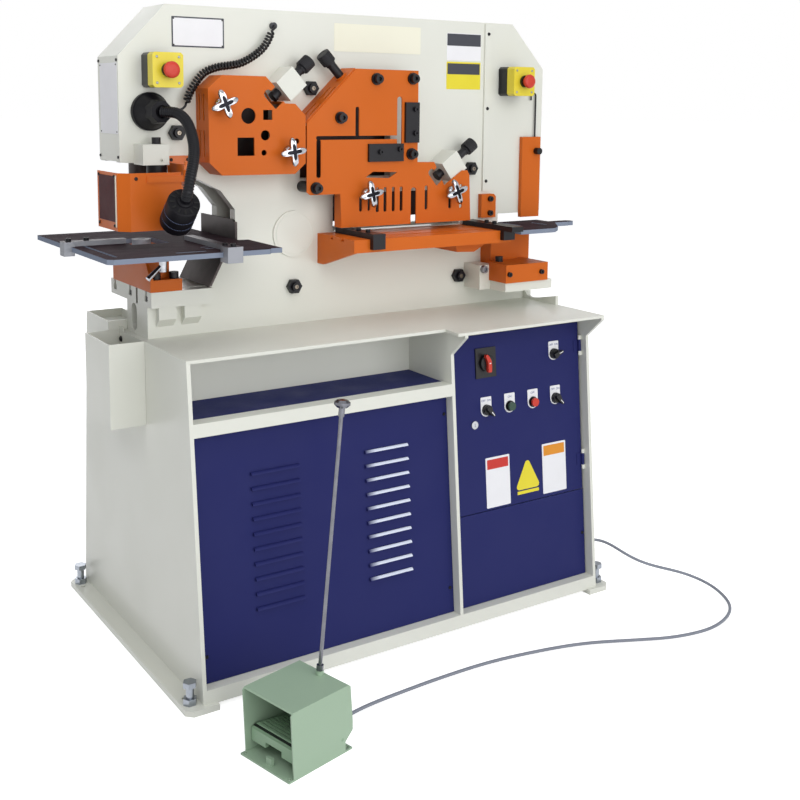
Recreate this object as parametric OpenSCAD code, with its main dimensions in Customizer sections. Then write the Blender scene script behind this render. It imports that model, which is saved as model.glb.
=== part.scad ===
// Hydraulic ironworker: punch, section and angle shears, bar shear and notcher
// on one welded frame. Floor at z = 0, +X to the machine's right, +Y to its back.

/* [Cabinet] */
// Length over the side plates
base_len = 1244; // [1244:2:1500]
// Depth of the side plates at the floor
base_depth = 854; // [854:2:1030]
// Height of the cabinet top
cabinet_h = 824; // [760:1:990]
// Lean of the cabinet's front and back, in degrees
lean = 5.2; // [3:0.1:6]
// Thickness of the cabinet's welded plates
wall = 10; // [8:1:12]

/* [Upper frame] */
// Length of the twin frame plates
frame_len = 1330; // [1330:2:1600]
// Height of the frame above the cabinet top
frame_h = 826; // [826:1:1000]
// Thickness of each frame plate
plate_t = 30; // [24:1:34]
// Distance over both frame plates
frame_depth = 144; // [136:1:160]

/* [Stations] */
// Height of the work tables above the cabinet top
work_rise = 241; // [230:1:260]
// Radius of the punch
punch_r = 10; // [6:0.5:12]
// Travel of the punch ram
punch_stroke = 45; // [30:1:50]
// Height of the opening under the bar shear guard
shear_gap = 20; // [18:1:26]

// Gap between welded sheets that stand edge to face
weld_gap = 0.1; // [0.05:0.05:0.3]

/* [Controls] */
// Radius of the red stop mushrooms
mushroom_r = 20; // [16:1:22]
// Radius of the switch knobs
knob_r = 14; // [11:1:15]
// Reach of the arms of the star knobs
star_reach = 32; // [24:1:36]

/* [Pedal] */
// Width of the pedal guard
pedal_w = 160; // [150:1:190]
// Height of the pedal guard
pedal_h = 155; // [150:1:180]
// Length of the pedal's carrying rod
rod_len = 590; // [400:10:700]

/* [Hidden] */
$fn = 40;

// Reference lines of the machine
slope = tan(lean);
base_x = base_len / 2;
base_y = base_depth / 2;
foot_x = base_x + 45;
foot_t = 15;
top_z = cabinet_h;
lid_t = 8;
work_z = top_z + work_rise;
frame_z = top_z + frame_h;
left = -frame_len / 2;
right = frame_len / 2;
face = -frame_depth / 2;
gap_y = frame_depth / 2 - plate_t;
eps = 0.01;

// Front face of the cabinet at height z, and the sheets set back behind it
function front_y(z) = -base_y + slope * z;
recess = 28;
sheet = 2;
divider_x = base_x - 494;
sill_top = 47;
rail_z = [643, 675];
overhang = 68;
gland_y = -350;
gland_z = 125;
cream = "#DEDED5";
orange = "#CC6A28";
navy = "#2B2F66";
black = "#17161B";
steel = "#A9ACB2";

// A flat outline in x and z, thick towards the front from y
module toward_front(y, t) {
    translate([0, y, 0]) rotate([90, 0, 0]) linear_extrude(t) children();
}
// A flat outline in y and z, thick towards the right from x
module toward_right(x, t) {
    translate([x, 0, 0]) rotate([90, 0, 90]) linear_extrude(t) children();
}
// A flat outline in x and y, thick upwards from z
module upward(z, t) {
    translate([0, 0, z]) linear_extrude(t) children();
}
// A round bar along y, from y towards the front
module pin_y(x, y, z, r, h) {
    translate([x, y, z]) rotate([90, 0, 0]) cylinder(h = h, r = r);
}
// A box between two corners
module block(a, b) {
    translate(a) cube(b - a);
}
// A flat slot with round ends, from point a to point b
module slot(a, b, r) {
    d = b - a;
    translate(a) circle(r);
    translate(b) circle(r);
    translate(a) rotate(atan2(d[1], d[0])) translate([0, -r]) square([norm(d), 2 * r]);
}
// A flat rectangle with round corners
module round_box(a, b, r) {
    translate([a[0] + r, a[1]]) square([b[0] - a[0] - 2 * r, b[1] - a[1]]);
    translate([a[0], a[1] + r]) square([b[0] - a[0], b[1] - a[1] - 2 * r]);
    for (x = [a[0] + r, b[0] - r], y = [a[1] + r, b[1] - r]) translate([x, y]) circle(r);
}
// Placement on the leaning front sheets: x along, y out of the sheet, z up the lean
module on_front(z) {
    translate([0, front_y(z) + recess, z]) rotate([-lean, 0, 0]) children();
}
// A socket-head screw along y with its head out to the front
module socket_screw(x, y, z, r) {
    difference() {
        union() {
            pin_y(x, y, z, r, r * 1.1);
            pin_y(x, y + r * 1.4, z, r * 0.55, r * 1.4 + eps);
        }
        translate([x, y - r * 0.6, z]) rotate([90, 0, 0]) cylinder(h = r, r = r * 0.5, $fn = 6);
    }
}
// An upright socket-head screw standing on z
module upright_screw(x, y, z, r, shank) {
    difference() {
        translate([x, y, z - shank]) cylinder(h = shank + r * 1.4, r = r * 0.55);
        translate([x, y, z + r * 0.8]) cylinder(h = r, r = r * 0.4, $fn = 6);
    }
    difference() {
        translate([x, y, z]) cylinder(h = r * 1.4, r = r);
        translate([x, y, z + r * 0.8]) cylinder(h = r, r = r * 0.5, $fn = 6);
    }
}

// ---- Cabinet ----
// Side profile of a cabinet plate, with an ear under the deeper right half of the top
module side_profile(ear) {
    under = top_z - lid_t;
    polygon(concat(
        [[front_y(foot_t), foot_t]],
        ear ? [[front_y(under - 62), under - 62], [front_y(under) - overhang, under - 6],
               [front_y(under) - overhang, under]] : [[front_y(under), under]],
        [[-front_y(under), under], [-front_y(foot_t), foot_t]]));
}
module foot_plate() {
    chamfer = 16;
    difference() {
        upward(0, foot_t) polygon([[base_x - 36, -base_y - 12], [foot_x - chamfer, -base_y - 12],
            [foot_x, -base_y + 4], [foot_x, base_y - 4], [foot_x - chamfer, base_y + 12],
            [base_x - 36, base_y + 12]]);
        for (y = [-400, 400]) translate([foot_x - 22, y, -1]) cylinder(h = foot_t + 2, r = 11);
        // Anchor holes beside the levelling bolts
        for (y = [-370, 370]) translate([foot_x - 20, y, -1]) cylinder(h = foot_t + 2, r = 6);
    }
}
module base_cabinet() color(cream) {
    under = top_z - lid_t;
    shelf_y = -160;
    difference() {
        union() {
            for (side = [0, 1]) mirror([side, 0, 0]) foot_plate();
            toward_right(-base_x, wall) side_profile(false);
            toward_right(divider_x, wall) side_profile(true);
            toward_right(base_x - wall, wall) side_profile(true);
            // Top plate, deeper to the front over the control side
            upward(under, lid_t) polygon([[-base_x, front_y(top_z)], [divider_x - 14, front_y(top_z)],
                [divider_x - 22, front_y(top_z) - overhang], [base_x, front_y(top_z) - overhang],
                [base_x, -front_y(top_z)], [-base_x, -front_y(top_z)]]);
            // Front and rear sills and the rear top rail
            toward_right(-base_x + wall - eps, base_len - 2 * wall + 2 * eps) {
                polygon([[front_y(12), 12], [front_y(sill_top), sill_top],
                    [front_y(sill_top) + recess + 22, sill_top], [front_y(12) + recess + 22, 12]]);
                polygon([[-front_y(12), 12], [-front_y(sill_top), sill_top],
                    [-front_y(sill_top) - 40, sill_top], [-front_y(12) - 40, 12]]);
                polygon([[-front_y(under - 30) - 2, under - 30], [-front_y(under) - 2, under + 1],
                    [-front_y(under) - 40, under + 1], [-front_y(under) - 40, under - 30]]);
            }
            // Rail under the open shelf, its floor and its back wall
            toward_right(-base_x + wall - eps, divider_x + base_x - wall + 2 * eps) {
                polygon([[front_y(rail_z[0]), rail_z[0]], [front_y(rail_z[1]), rail_z[1]],
                    [front_y(rail_z[1]) + 40, rail_z[1]], [front_y(rail_z[1]) + 40, rail_z[0]]]);
                translate([front_y(rail_z[1]) + 30, rail_z[1] - 10])
                    square([shelf_y - front_y(rail_z[1]) - 28, 4]);
                translate([shelf_y, rail_z[1] - 10]) square([3, under - rail_z[1] + 10 + eps]);
            }
            // Bars that carry the tank and the motor
            for (y = [-150, 150]) block([-base_x + wall - eps, y - 20, 15], [base_x - wall + eps, y + 20, 23]);
            // Knee between the frame's foot and the right end of the top
            toward_right(base_x - wall, wall) polygon([[-224, under + 1], [-224, top_z + 27],
                [-140, top_z + 10], [-110, top_z + 6], [-90, top_z + 12], [face, top_z + 34],
                [face, under + 1]]);
        }
        // Opening for the foot switch conduit on the right
        translate([base_x - wall - 1, gland_y, gland_z]) rotate([0, 90, 0]) cylinder(h = wall + 2, r = 12.2);
    }
    // Lugs and pins of the control door's hinges
    for (z = hinge_z) on_front(z) translate([hinge_x, -hinge_out, 0]) {
        translate([0, 0, -12]) cylinder(h = barrel_h + 24, r = 2.5);
        for (h = [-12, barrel_h]) translate([0, 0, h]) {
            cylinder(h = 12, r = 4.5);
            translate([0, -3, 0]) cube([base_x - wall - hinge_x + eps, 6, 12]);
        }
    }
}
module levelling_bolts() color("#C9CDD2") {
    for (x = [-foot_x + 22, foot_x - 22], y = [-400, 400]) translate([x, y, 0]) {
        translate([0, 0, 0.4]) cylinder(h = 66, r = 9.6);
        translate([0, 0, 58]) cylinder(h = 13, r = 17, $fn = 6);
        difference() {
            translate([0, 0, foot_t]) cylinder(h = 16, r = 17, $fn = 6);
            translate([0, 0, foot_t - 1]) cylinder(h = 18, r = 9.9);
        }
    }
}
module tool_shelf_mat() color("#3F4A78") {
    y0 = front_y(rail_z[1]) + 42;
    block([-base_x + wall + 2, y0, rail_z[1] - 6], [divider_x - 2, -162, rail_z[1] - 1]);
}
module louvre(w) {
    // A pressed louvre: a quarter-round hood, open along its lower edge
    intersection() {
        rotate([0, 90, 0]) cylinder(h = w, r = 9, center = true);
        translate([-w / 2, -10, 0]) cube([w, 10, 10]);
    }
}
module front_sheet(x0, x1, z0, z1) {
    h = (z1 - z0) / cos(lean);
    on_front(z0) translate([x0, 0, 0]) cube([x1 - x0, sheet, h]);
}
module cabinet_panels() color(navy) {
    x0 = -base_x + wall + 1;
    x1 = divider_x - 1;
    h = (rail_z[0] - sill_top - 2) / cos(lean);
    // Louvred access panel
    on_front(sill_top + 1) {
        difference() {
            union() {
                translate([x0, 0, 0]) cube([x1 - x0, sheet, h]);
                for (x = [-395, -72], i = [0 : 9]) translate([x, eps, 144 + i * 37]) louvre(132);
            }
            for (x = [-395, -72], i = [0 : 9]) translate([x, 0, 144 + i * 37]) {
                translate([-62, -5, -1]) cube([124, 5 + sheet + 1, 5]);
            }
        }
    }
    // Plain panel below the control door
    front_sheet(divider_x + wall + 2, base_x - wall - 4, sill_top + 1, 299);
    // Rear covers with their air slots
    mirror([0, 1, 0]) difference() {
        for (x = [[x0, x1], [x1 + wall + 2, base_x - wall - 1]])
            front_sheet(x[0], x[1], sill_top + 1, top_z - 48);
        for (x = [-320, -130, 370], i = [0 : 7])
            on_front(200) translate([x - 55, -1, i * 26]) cube([110, 6, 7]);
    }
}
module open_bin(a, b, t) {
    difference() {
        block(a, b);
        block([a[0] + t, a[1] + t, a[2] + t], [b[0] - t, b[1] - t, b[2] + 1]);
    }
}
module slug_boxes() color(cream) {
    // Front box hung on the left side, with its hook tab over the top's edge
    difference() {
        union() {
            open_bin([-base_x - 92, -94, top_z - 214], [-base_x - 0.5, 85, top_z], 2.5);
            block([-base_x - 3, 52, top_z - 45], [-base_x - 0.5, 82, top_z + 10]);
        }
        translate([-base_x - 4, 66, top_z - 22]) rotate([0, 90, 0]) cylinder(h = 5, r = 5);
    }
    // Rear tray standing on the top
    open_bin([-base_x - 32, 80, top_z + 0.5], [-base_x + 66, 250, top_z + 25], 2.5);
}
module hydraulic_tank() color("#8E9298") {
    difference() {
        union() {
            block([-540, -200, 23], [-120, 200, 300]);
            translate([-480, -120, 300 - eps]) cylinder(h = 34, r = 32);
            block([-330, -60, 300 - eps], [-220, 60, 380]);
        }
        block([-535, -195, 28], [-125, 195, 295]);
    }
}
motor_x = 300;
module pump_motor() color("#5D6470") {
    // Motor body with cooling fins, bell housing and pump
    translate([motor_x, 0, 165]) rotate([0, 90, 0]) {
        cylinder(h = 240, r = 92);
        for (i = [0 : 23]) rotate(i * 15) translate([88, -2, 10]) cube([14, 4, 180]);
        translate([0, 0, -60]) cylinder(h = 60 + eps, r = 70);
        translate([0, 0, -115]) cylinder(h = 55 + eps, r = 52);
        translate([0, 0, 196]) cylinder(h = 50, r = 98);
    }
    // Base plate on the carrying bars, feet and terminal box
    block([motor_x + 30, -160, 23], [motor_x + 210, 160, 35]);
    for (x = [motor_x + 40, motor_x + 160]) block([x, -80, 34], [x + 40, 80, 100]);
    block([motor_x + 80, -50, 250], [motor_x + 170, 50, 300]);
}

// ---- Upper frame ----
// Front of the shear guards, and the line of the hold-down screws
guard_y = face - 76;
guard_t = 4;
hold_y = face - 40;
table_t = 12;
// Shelf and front of the notcher's lower block
notch_z = work_z - 160;
notch_pad_y = face - 16;
pad_x = [right - 235, right - 181];
pad_screw_z = [work_z + 73, work_z + 31];
notch_front = face - 158;
bed_z = work_z - 120;
die_at = [left + 75, 0];
pivot = [-192, work_z + 3];
pivot_r = 34;
module plate_outline() {
    fillet = 18;
    difference() {
        polygon([[left + 67, top_z], [left + 67, bed_z - 1], [left + 228, bed_z - 1],
            [left + 265, work_z - 50], [left + 302, work_z - 14], [left + 302, work_z + 75],
            [left + 262, work_z + 125], [left + 120, work_z + 197], [left, work_z + 202],
            [left, frame_z - 127], [left + 121, frame_z], [right - 121, frame_z],
            [right, frame_z - 127], [right, work_z + 25], [right - 160, work_z + 25],
            [right - 160, work_z - 165], [right - 40, work_z - 165],
            [right - 40, top_z + 20 + fillet], [right - 40 + fillet, top_z + 20], [right - 22, top_z]]);
        translate([right - 22, top_z + 20 + fillet]) circle(fillet);
    }
}
// Openings in both plates for the section, angle and bar shears
module shear_openings() {
    round_box([-410, work_z + 205], [-250, work_z + 345], 12);
    polygon([[-172, work_z + 150], [116, work_z + 150], [116, work_z + 352], [-56, work_z + 352],
        [-56, work_z + 290], [-172, work_z + 290]]);
    round_box([-70, work_z + 2], [360, work_z + 105], 8);
}
module hold_down_block(at, angle) {
    // A block on the front face, bored along its own leaning axis
    translate([at[0], hold_y, at[1]]) rotate([0, -angle, 0]) difference() {
        translate([-31, -30, -31]) cube([62, face - hold_y + 31, 62]);
        translate([-40, 0, 0]) rotate([0, 90, 0]) cylinder(h = 80, r = 12.06);
    }
}
section_down = [-233, work_z + 399];
section_down_angle = 42;
bar_down = [289, work_z + 177];
bar_down_angle = 36;
bed_front = -100;
bed_back = 190;
module punch_bed() {
    difference() {
        union() {
            block([left + 60, bed_front, bed_z - 40], [left + 225, bed_back, bed_z]);
            // Column end plate and the two knees under the bed
            block([left + 60, face, top_z], [left + 76, -face, bed_z - 39]);
            for (x = [left + 82, left + 150]) toward_right(x, 46) polygon([[face + 1, bed_z - 39],
                [bed_front + 6, bed_z - 39], [bed_front + 6, bed_z - 72], [face + 1, bed_z - 94]]);
        }
        for (y = [-64, 48, 160]) {
            block([left + 59, y - 6, bed_z - 14], [left + 226, y + 6, bed_z + 1]);
            block([left + 59, y - 11, bed_z - 27], [left + 226, y + 11, bed_z - 13]);
        }
        translate([die_at[0], die_at[1], bed_z - 41]) cylinder(h = 42, r = 16);
        toward_right(left + 59, 18) slot([22, bed_z - 96], [22, bed_z - 62], 19);
    }
}
module machine_frame() color(cream) {
    difference() {
        union() {
            for (y = [-gap_y, -face]) toward_front(y, plate_t) plate_outline();
            // Spacer bars that join the two plates
            for (p = [[-560, 60], [-150, 60], [420, 60], [right - 40, 120]])
                toward_front(gap_y + 1, 2 * gap_y + 2) translate([p[0] - 30, frame_z - p[1] - 24]) square([60, 24]);
            toward_front(gap_y + 1, 2 * gap_y + 2) translate([left + 120, top_z + 10]) square([340, 40]);
            toward_front(gap_y + 1, 2 * gap_y + 2) translate([90, top_z + 10]) square([480, 40]);
            // Stripper block on the front of the punch station
            translate([left + 33, face - 63, work_z + 198]) cube([66, 64, 50]);
            // Bracket that carries the notcher
            difference() {
                block([right - 284, face - 78, notch_z - 27], [right - 46, face + 1, notch_z + 45]);
                block([right - 233, face - 80, notch_z], [right - 40, face + 2, notch_z + 50]);
            }
            block([right - 245, face - 150, notch_z - 27], [right - 70, face - 77, notch_z]);
        }
        for (y = [face - 1, gap_y - 1]) toward_front(y + plate_t + 2, plate_t + 2) shear_openings();
        pin_y(pivot[0], -face + 1, pivot[1], pivot_r + 0.05, frame_depth + 2);
        // Hole for the stripper stud
        translate([left + 79, face - 31, work_z + 190]) cylinder(h = 70, r = 8.05);
        pin_y(left + 79, face - 57, work_z + 209, 4, 7);
    }
    hold_down_block(section_down, section_down_angle);
    hold_down_block(bar_down, bar_down_angle);
    punch_bed();
}
// The point a weld gap away from p towards q
function along(p, q) = p + weld_gap / 2 * (q - p) / norm(q - p);
strip_t = 6;
module frame_covers() color(cream) {
    t = 2.5;
    // Five sheets that close the ends and the top, over both plates
    outer = [[left - t, work_z + 204], [left - t, frame_z - 126], [left + 120, frame_z + t],
        [right - 120, frame_z + t], [right + t, frame_z - 126], [right + t, work_z + 30]];
    seat = 0.02;
    inner = [[left - seat, work_z + 204], [left - seat, frame_z - 127 + seat],
        [left + 121 - seat, frame_z + seat], [right - 121 + seat, frame_z + seat],
        [right + seat, frame_z - 127 + seat], [right + seat, work_z + 30]];
    for (i = [0 : 4]) toward_front(-face, frame_depth)
        polygon([along(outer[i], outer[i + 1]), along(outer[i + 1], outer[i]),
            along(inner[i + 1], inner[i]), along(inner[i], inner[i + 1])]);
    // Cover strip over the seam towards the notcher
    block([right - 224, face - strip_t, work_z + 96], [right - 201, face, frame_z - 1]);
    block([right - 201, face - 2.5, work_z + 96], [right - 176, face, frame_z - 1]);
    // Inspection plate on the back
    block([-120, -face, work_z + 230], [330, -face + 3, frame_z - 120]);
    // Round plate over the beam's pivot
    difference() {
        pin_y(pivot[0], face, pivot[1], 62, 5);
        difference() {
            pin_y(pivot[0], face - 4, pivot[1], 57, 2);
            pin_y(pivot[0], face - 3, pivot[1], 54, 4);
        }
    }
    bracket();
}
// Where the hex adjusters of the beam's slide pads sit on the front plate
adjusters = [[left + 143, work_z + 274], [-142, work_z + 389], [right - 270, work_z + 164],
    [right - 309, work_z - 151], [-194, work_z - 139]];
module hex_adjuster(x, z) {
    difference() {
        pin_y(x, face, z, 12, 24);
        pin_y(x, face - 16, z, 7, 9);
    }
    difference() {
        translate([x, face - 0.3, z]) rotate([90, 0, 0]) cylinder(h = 15, r = 21, $fn = 6);
        pin_y(x, face + 1, z, 12.3, 20);
    }
}
module black_fasteners() color(black) {
    for (a = adjusters) hex_adjuster(a[0], a[1]);
    // Screws of the angle guard with their spacers down to the frame
    for (s = angle_screws) {
        socket_screw(s[0], guard_y - 5.9, s[1], 12);
        difference() {
            union() {
                pin_y(s[0], face, s[1], 15, face - guard_y - guard_t);
                pin_y(s[0], guard_y, s[1], 16, 6);
            }
            pin_y(s[0], face - 1, s[1], 7.4, face - guard_y - 6);
        }
    }
    // Screws of the blade guides
    for (s = guide_screws) socket_screw(s[0], guard_y - guide_t, s[1], 7);
    // Screws of the notcher's guard block and of its lower block
    for (z = pad_screw_z) socket_screw(pad_x[0] + 31, notch_pad_y, z, 8);
    for (x = [right - 239, right - 119]) socket_screw(x, notch_front, notch_z + 26, 7);
    upright_screw(right - 215, face - 80, notch_z + 53, 11, 14);
    // Screws of the cover strip, the end cover and the sheets of the cabinet
    for (z = [frame_z - 30, frame_z - 246, work_z + 125]) button_y(right - 212, face - strip_t - 0.2, z, 5);
    for (y = [face + 8, -face - 8], z = [work_z + 215, frame_z - 136])
        translate([left - 2.7, y, z]) rotate([0, -90, 0]) cylinder(h = 2.5, r = 3.5);
    for (p = [[divider_x - 10, 590], [divider_x - 12, 116], [-base_x + 26, 112],
        [divider_x + 20, 170], [base_x - 22, 170]]) sheet_screw(p[0], p[1]);
    mirror([0, 1, 0]) for (x = [-base_x + 30, base_x - 30], z = [110, 600]) sheet_screw(x, z);
    // Cap screws of the die bolster and the nuts of the stripper stud
    for (x = bolster_screws) upright_screw(x, bolster_front + 20, bed_z + 30, 12, 18);
    translate([left + 79, face - 31, work_z + 248]) cylinder(h = 16, r = 11);
    translate([left + 79, face - 31, work_z + 174]) cylinder(h = 24, r = 25);
    translate([left + 79, face - 31, work_z + 198]) cylinder(h = 50, r = 8);
}
module button_y(x, y, z, r) {
    translate([x, y, z]) rotate([90, 0, 0]) cylinder(h = r * 0.6, r1 = r, r2 = r * 0.7);
}
module sheet_screw(x, z) {
    on_front(z) translate([x, -0.2, 0]) rotate([90, 0, 0]) cylinder(h = 2.6, r1 = 5, r2 = 3.6);
}
// ---- Punch station ----
bolster_x = [left + 59, left + 143];
bolster_front = bed_front + 2;
bolster_screws = [left + 81, left + 129];
die_r = 24;
slug_r = 13;
module die_bolster() color(orange) {
    top = work_z - table_t;
    difference() {
        union() {
            // Column with a ledge for the cap screws and a raked web between them
            toward_right(bolster_x[0], 66) polygon([[bolster_front + 40, bed_z], [170, bed_z],
                [170, top], [bolster_front + 40, top]]);
            toward_right(bolster_x[0], bolster_x[1] - bolster_x[0]) polygon([[bolster_front, bed_z],
                [bolster_front + 60, bed_z], [bolster_front + 60, bed_z + 30], [bolster_front, bed_z + 30]]);
            toward_right(bolster_x[0], 8) polygon([[bolster_front, bed_z], [bolster_front, bed_z + 34],
                [bolster_front + 41, top - 26], [bolster_front + 41, bed_z]]);
        }
        translate([die_at[0], 0, bed_z - 1]) cylinder(h = 200, r = slug_r);
        translate([die_at[0], 0, top - 10]) cylinder(h = 20, r = die_r);
        for (x = bolster_screws) translate([x, bolster_front + 20, bed_z - 1]) cylinder(h = 40, r = 6.8);
    }
}
module punch_die() color(steel) {
    difference() {
        translate([die_at[0], 0, work_z - table_t - 10]) cylinder(h = table_t + 14, r = die_r - 0.03);
        translate([die_at[0], 0, work_z - table_t - 11]) cylinder(h = table_t + 10, r = slug_r);
        translate([die_at[0], 0, work_z - 3]) cylinder(h = 8, r = punch_r + 0.4);
    }
}
lever_at = [left + 87, -112];
module punch_table() color(steel) {
    difference() {
        upward(work_z - table_t, table_t) difference() {
            polygon([[left - 119, -300], [left - 107, -312], [left + 281, -312], [left + 290, -300],
                [left + 320, -300], [left + 320, -112], [left + 293, -112], [left + 293, 237],
                [left - 119, 237]]);
            translate([left + 25, -75]) square([95, 120]);
            slot([left - 87, -266], [left - 87, -30], 4);
            slot([left + 60, -270], [left + 130, -270], 4);
        }
        // Scribed stop grooves along the table
        for (y = [-228, -200]) block([left + 150, y - 3, work_z - 4], [left + 240, y + 3, work_z + 1]);
    }
    // Stud that the clamp lever turns on
    translate([lever_at[0], lever_at[1], work_z - table_t - 55]) cylinder(h = 55, r = 5);
    translate([lever_at[0], lever_at[1], work_z - table_t - 5]) cylinder(h = 5, r = 9);
}
module table_clamp_lever() color(steel) {
    translate([lever_at[0], lever_at[1], work_z - table_t - 55]) {
        difference() {
            union() {
                cylinder(h = 49.7, r1 = 9, r2 = 11);
                // Arm that droops to the front
                translate([-4, 0, 16]) rotate([0, 0, 12]) rotate([0, -128, 0])
                    cylinder(h = 50, r1 = 5, r2 = 7);
            }
            translate([0, 0, -1]) cylinder(h = 60, r = 5.05);
        }
    }
}
module throat_fence() color(steel) {
    t = 6;
    // Liner of the throat: upright plate with a round corner, slanted plate below
    toward_right(left + 302 - t, t) union() {
        translate([-85, work_z - 13]) square([216, 62 - 13 + 8]);
        translate([-60, work_z + 24]) square([191, 25]);
        translate([-60, work_z + 24]) circle(25);
        translate([-60, work_z + 24]) square([20, 25]);
    }
    toward_front(110, 195) polygon([[left + 302 - t, work_z - 14], [left + 302, work_z - 14],
        [left + 265, work_z - 50], [left + 228.5, bed_z + 1], [left + 222, bed_z + 1],
        [left + 259.5, work_z - 47]]);
}
gauge_gap = 0.25;
module left_punch_gauge() color(steel) {
    // Bar along x on the table, gripping its left edge
    z = work_z + gauge_gap;
    block([left - 122, -42, z], [left + 20, -18, z + 12]);
    difference() {
        block([left - 138, -52, work_z - 22], [left - 112, -18, z + 12]);
        block([left - 119.3, -53, work_z - table_t - gauge_gap], [left - 110, -17, z]);
    }
}
module right_punch_gauge() color(steel) {
    // Bar along y on the table, gripping its front edge
    z = work_z + gauge_gap;
    block([left + 173, -312, z], [left + 197, -45, z + 12]);
    difference() {
        block([left + 158, -338, work_z - 24], [left + 197, -296, z + 14]);
        block([left + 157, -312.3, work_z - table_t - gauge_gap], [left + 198, -295, z]);
    }
}
ram_z = work_z + 4 + punch_stroke - 5;
ram_r = 28;
barrel_z = work_z + 235;
module punch_ram() color(steel) {
    translate([die_at[0], 0, 0]) {
        translate([0, 0, ram_z]) cylinder(h = 40, r = punch_r);
        translate([0, 0, ram_z + 34]) cylinder(h = 12, r1 = punch_r + 2, r2 = 20);
        translate([0, 0, ram_z + 46]) cylinder(h = 26, r = 26, $fn = 6);
        translate([0, 0, ram_z + 72]) cylinder(h = barrel_z + 140 - ram_z - 72, r = ram_r);
    }
}
beam_ram_x = 470;
beam_ram_r = 22;
module hydraulic_cylinders() color("#3C4148") {
    // Barrel with its flange over the punch ram
    difference() {
        union() {
            translate([die_at[0], 0, barrel_z]) cylinder(h = 250, r = gap_y - 2);
            block([die_at[0] - 50, -gap_y, barrel_z], [die_at[0] + 50, gap_y, barrel_z + 20]);
        }
        translate([die_at[0], 0, barrel_z - 1]) cylinder(h = 222, r = ram_r + 0.06);
    }
    // Barrel that pushes the rocker beam
    difference() {
        union() {
            translate([beam_ram_x, 0, pad_z + 26]) cylinder(h = frame_z - 110 - pad_z, r = gap_y - 2);
            block([beam_ram_x - 50, -gap_y, frame_z - 104], [beam_ram_x + 50, gap_y, frame_z - 84]);
        }
        translate([beam_ram_x, 0, pad_z + 25]) cylinder(h = 190, r = beam_ram_r + 0.06);
    }
}
pad_z = work_z + 245;
module beam_ram() color(steel) {
    translate([beam_ram_x, 0, pad_z + 0.3]) cylinder(h = 180, r = beam_ram_r);
}
blade_z = work_z + shear_gap + 4;
module rocker_beam() color("#50545A") {
    difference() {
        // The lower edge over the bar shear is the blade's seat
        toward_front(30, 60) polygon([[-262, work_z - 25], [-192, work_z - 75], [-110, work_z - 35],
            [-84, blade_z], [366, blade_z + 10], [384, work_z + 140], [560, work_z + 150],
            [560, work_z + 225], [505, pad_z], [425, pad_z], [380, pad_z + 20], [130, work_z + 374],
            [-330, work_z + 386], [-420, work_z + 235]]);
        pin_y(pivot[0], 31, pivot[1], pivot_r + 0.05, 62);
    }
}
module pivot_pin() color(steel) {
    pin_y(pivot[0], -face, pivot[1], pivot_r, frame_depth);
    // Locating pin beside the notcher
    difference() {
        pin_y(right - 272, face - 78, notch_z + 34, 11, 12);
        pin_y(right - 272, face - 84, notch_z + 34, 6.5, 8);
    }
}

// ---- Guards and hold-downs ----
// Points of a flat outline moved inwards by t; the outline runs clockwise
function inset(p, t) = [for (i = [0 : len(p) - 1])
    let (a = p[(i + len(p) - 1) % len(p)], b = p[i], c = p[(i + 1) % len(p)],
        u = (b - a) / norm(b - a), v = (c - b) / norm(c - b), m = [u[1], -u[0]], n = [v[1], -v[0]])
    b + t * (m + n) / (1 + m * n)];
section_outline = [[-429, work_z + 417], [-310, work_z + 416], [-283, work_z + 389],
    [-256, work_z + 349], [-226, work_z + 348], [-196, work_z + 318], [-196, work_z + 195],
    [-227, work_z + 168], [-432, work_z + 169], [-466, work_z + 201], [-468, work_z + 384]];
section_knobs = [[-437, work_z + 346], [-248, work_z + 226]];
shear_knobs = [[-11, work_z + 110], [272, work_z + 106]];
knob_shaft = 6;
module section_guard() color(orange) {
    depth = face - guard_y;
    difference() {
        union() {
            toward_front(guard_y + guard_t, guard_t) polygon(section_outline);
            toward_front(face, depth - guard_t - weld_gap) difference() {
                polygon(section_outline);
                polygon(inset(section_outline, 3));
            }
        }
        // Front openings: profiles that the section shear takes, and the hold-down's notch
        toward_front(guard_y + 10, 20) {
            translate([-359, work_z + 317]) circle(20);
            translate([-318, work_z + 307]) square([26, 25]);
            translate([-312, work_z + 268]) circle(13);
            translate([-390, work_z + 217]) square([47, 46]);
            translate([-316, work_z + 224]) circle(7.5);
            translate([-222, work_z + 252]) circle(7.5);
            for (k = section_knobs) translate(k) circle(knob_shaft + 0.05);
        }
        toward_front(face - 6, 90) {
            translate([-303, work_z + 371]) circle(12);
            polygon([[-312, work_z + 364], [-282, work_z + 334], [-215, work_z + 394],
                [-245, work_z + 427]]);
        }
        // Slots in the left wall
        for (y = [guard_y + 25, guard_y + 50], z = [215, 305])
            block([-470, y, work_z + z], [-460, y + 8, work_z + z + 65]);
    }
}
angle_outline = [[-43, work_z + 442], [157, work_z + 441], [157, work_z + 191], [214, work_z + 190],
    [250, work_z + 123], [313, work_z + 164], [330, work_z + 164], [338, work_z + 150],
    [344, work_z + shear_gap], [-87, work_z + shear_gap], [-91, work_z + 111],
    [-182, work_z + 111], [-192, work_z + 118], [-192, work_z + 299]];
angle_screws = [[20, work_z + 416], [137, work_z + 419], [-92, work_z + 313], [135, work_z + 214],
    [-166, work_z + 129]];
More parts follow.
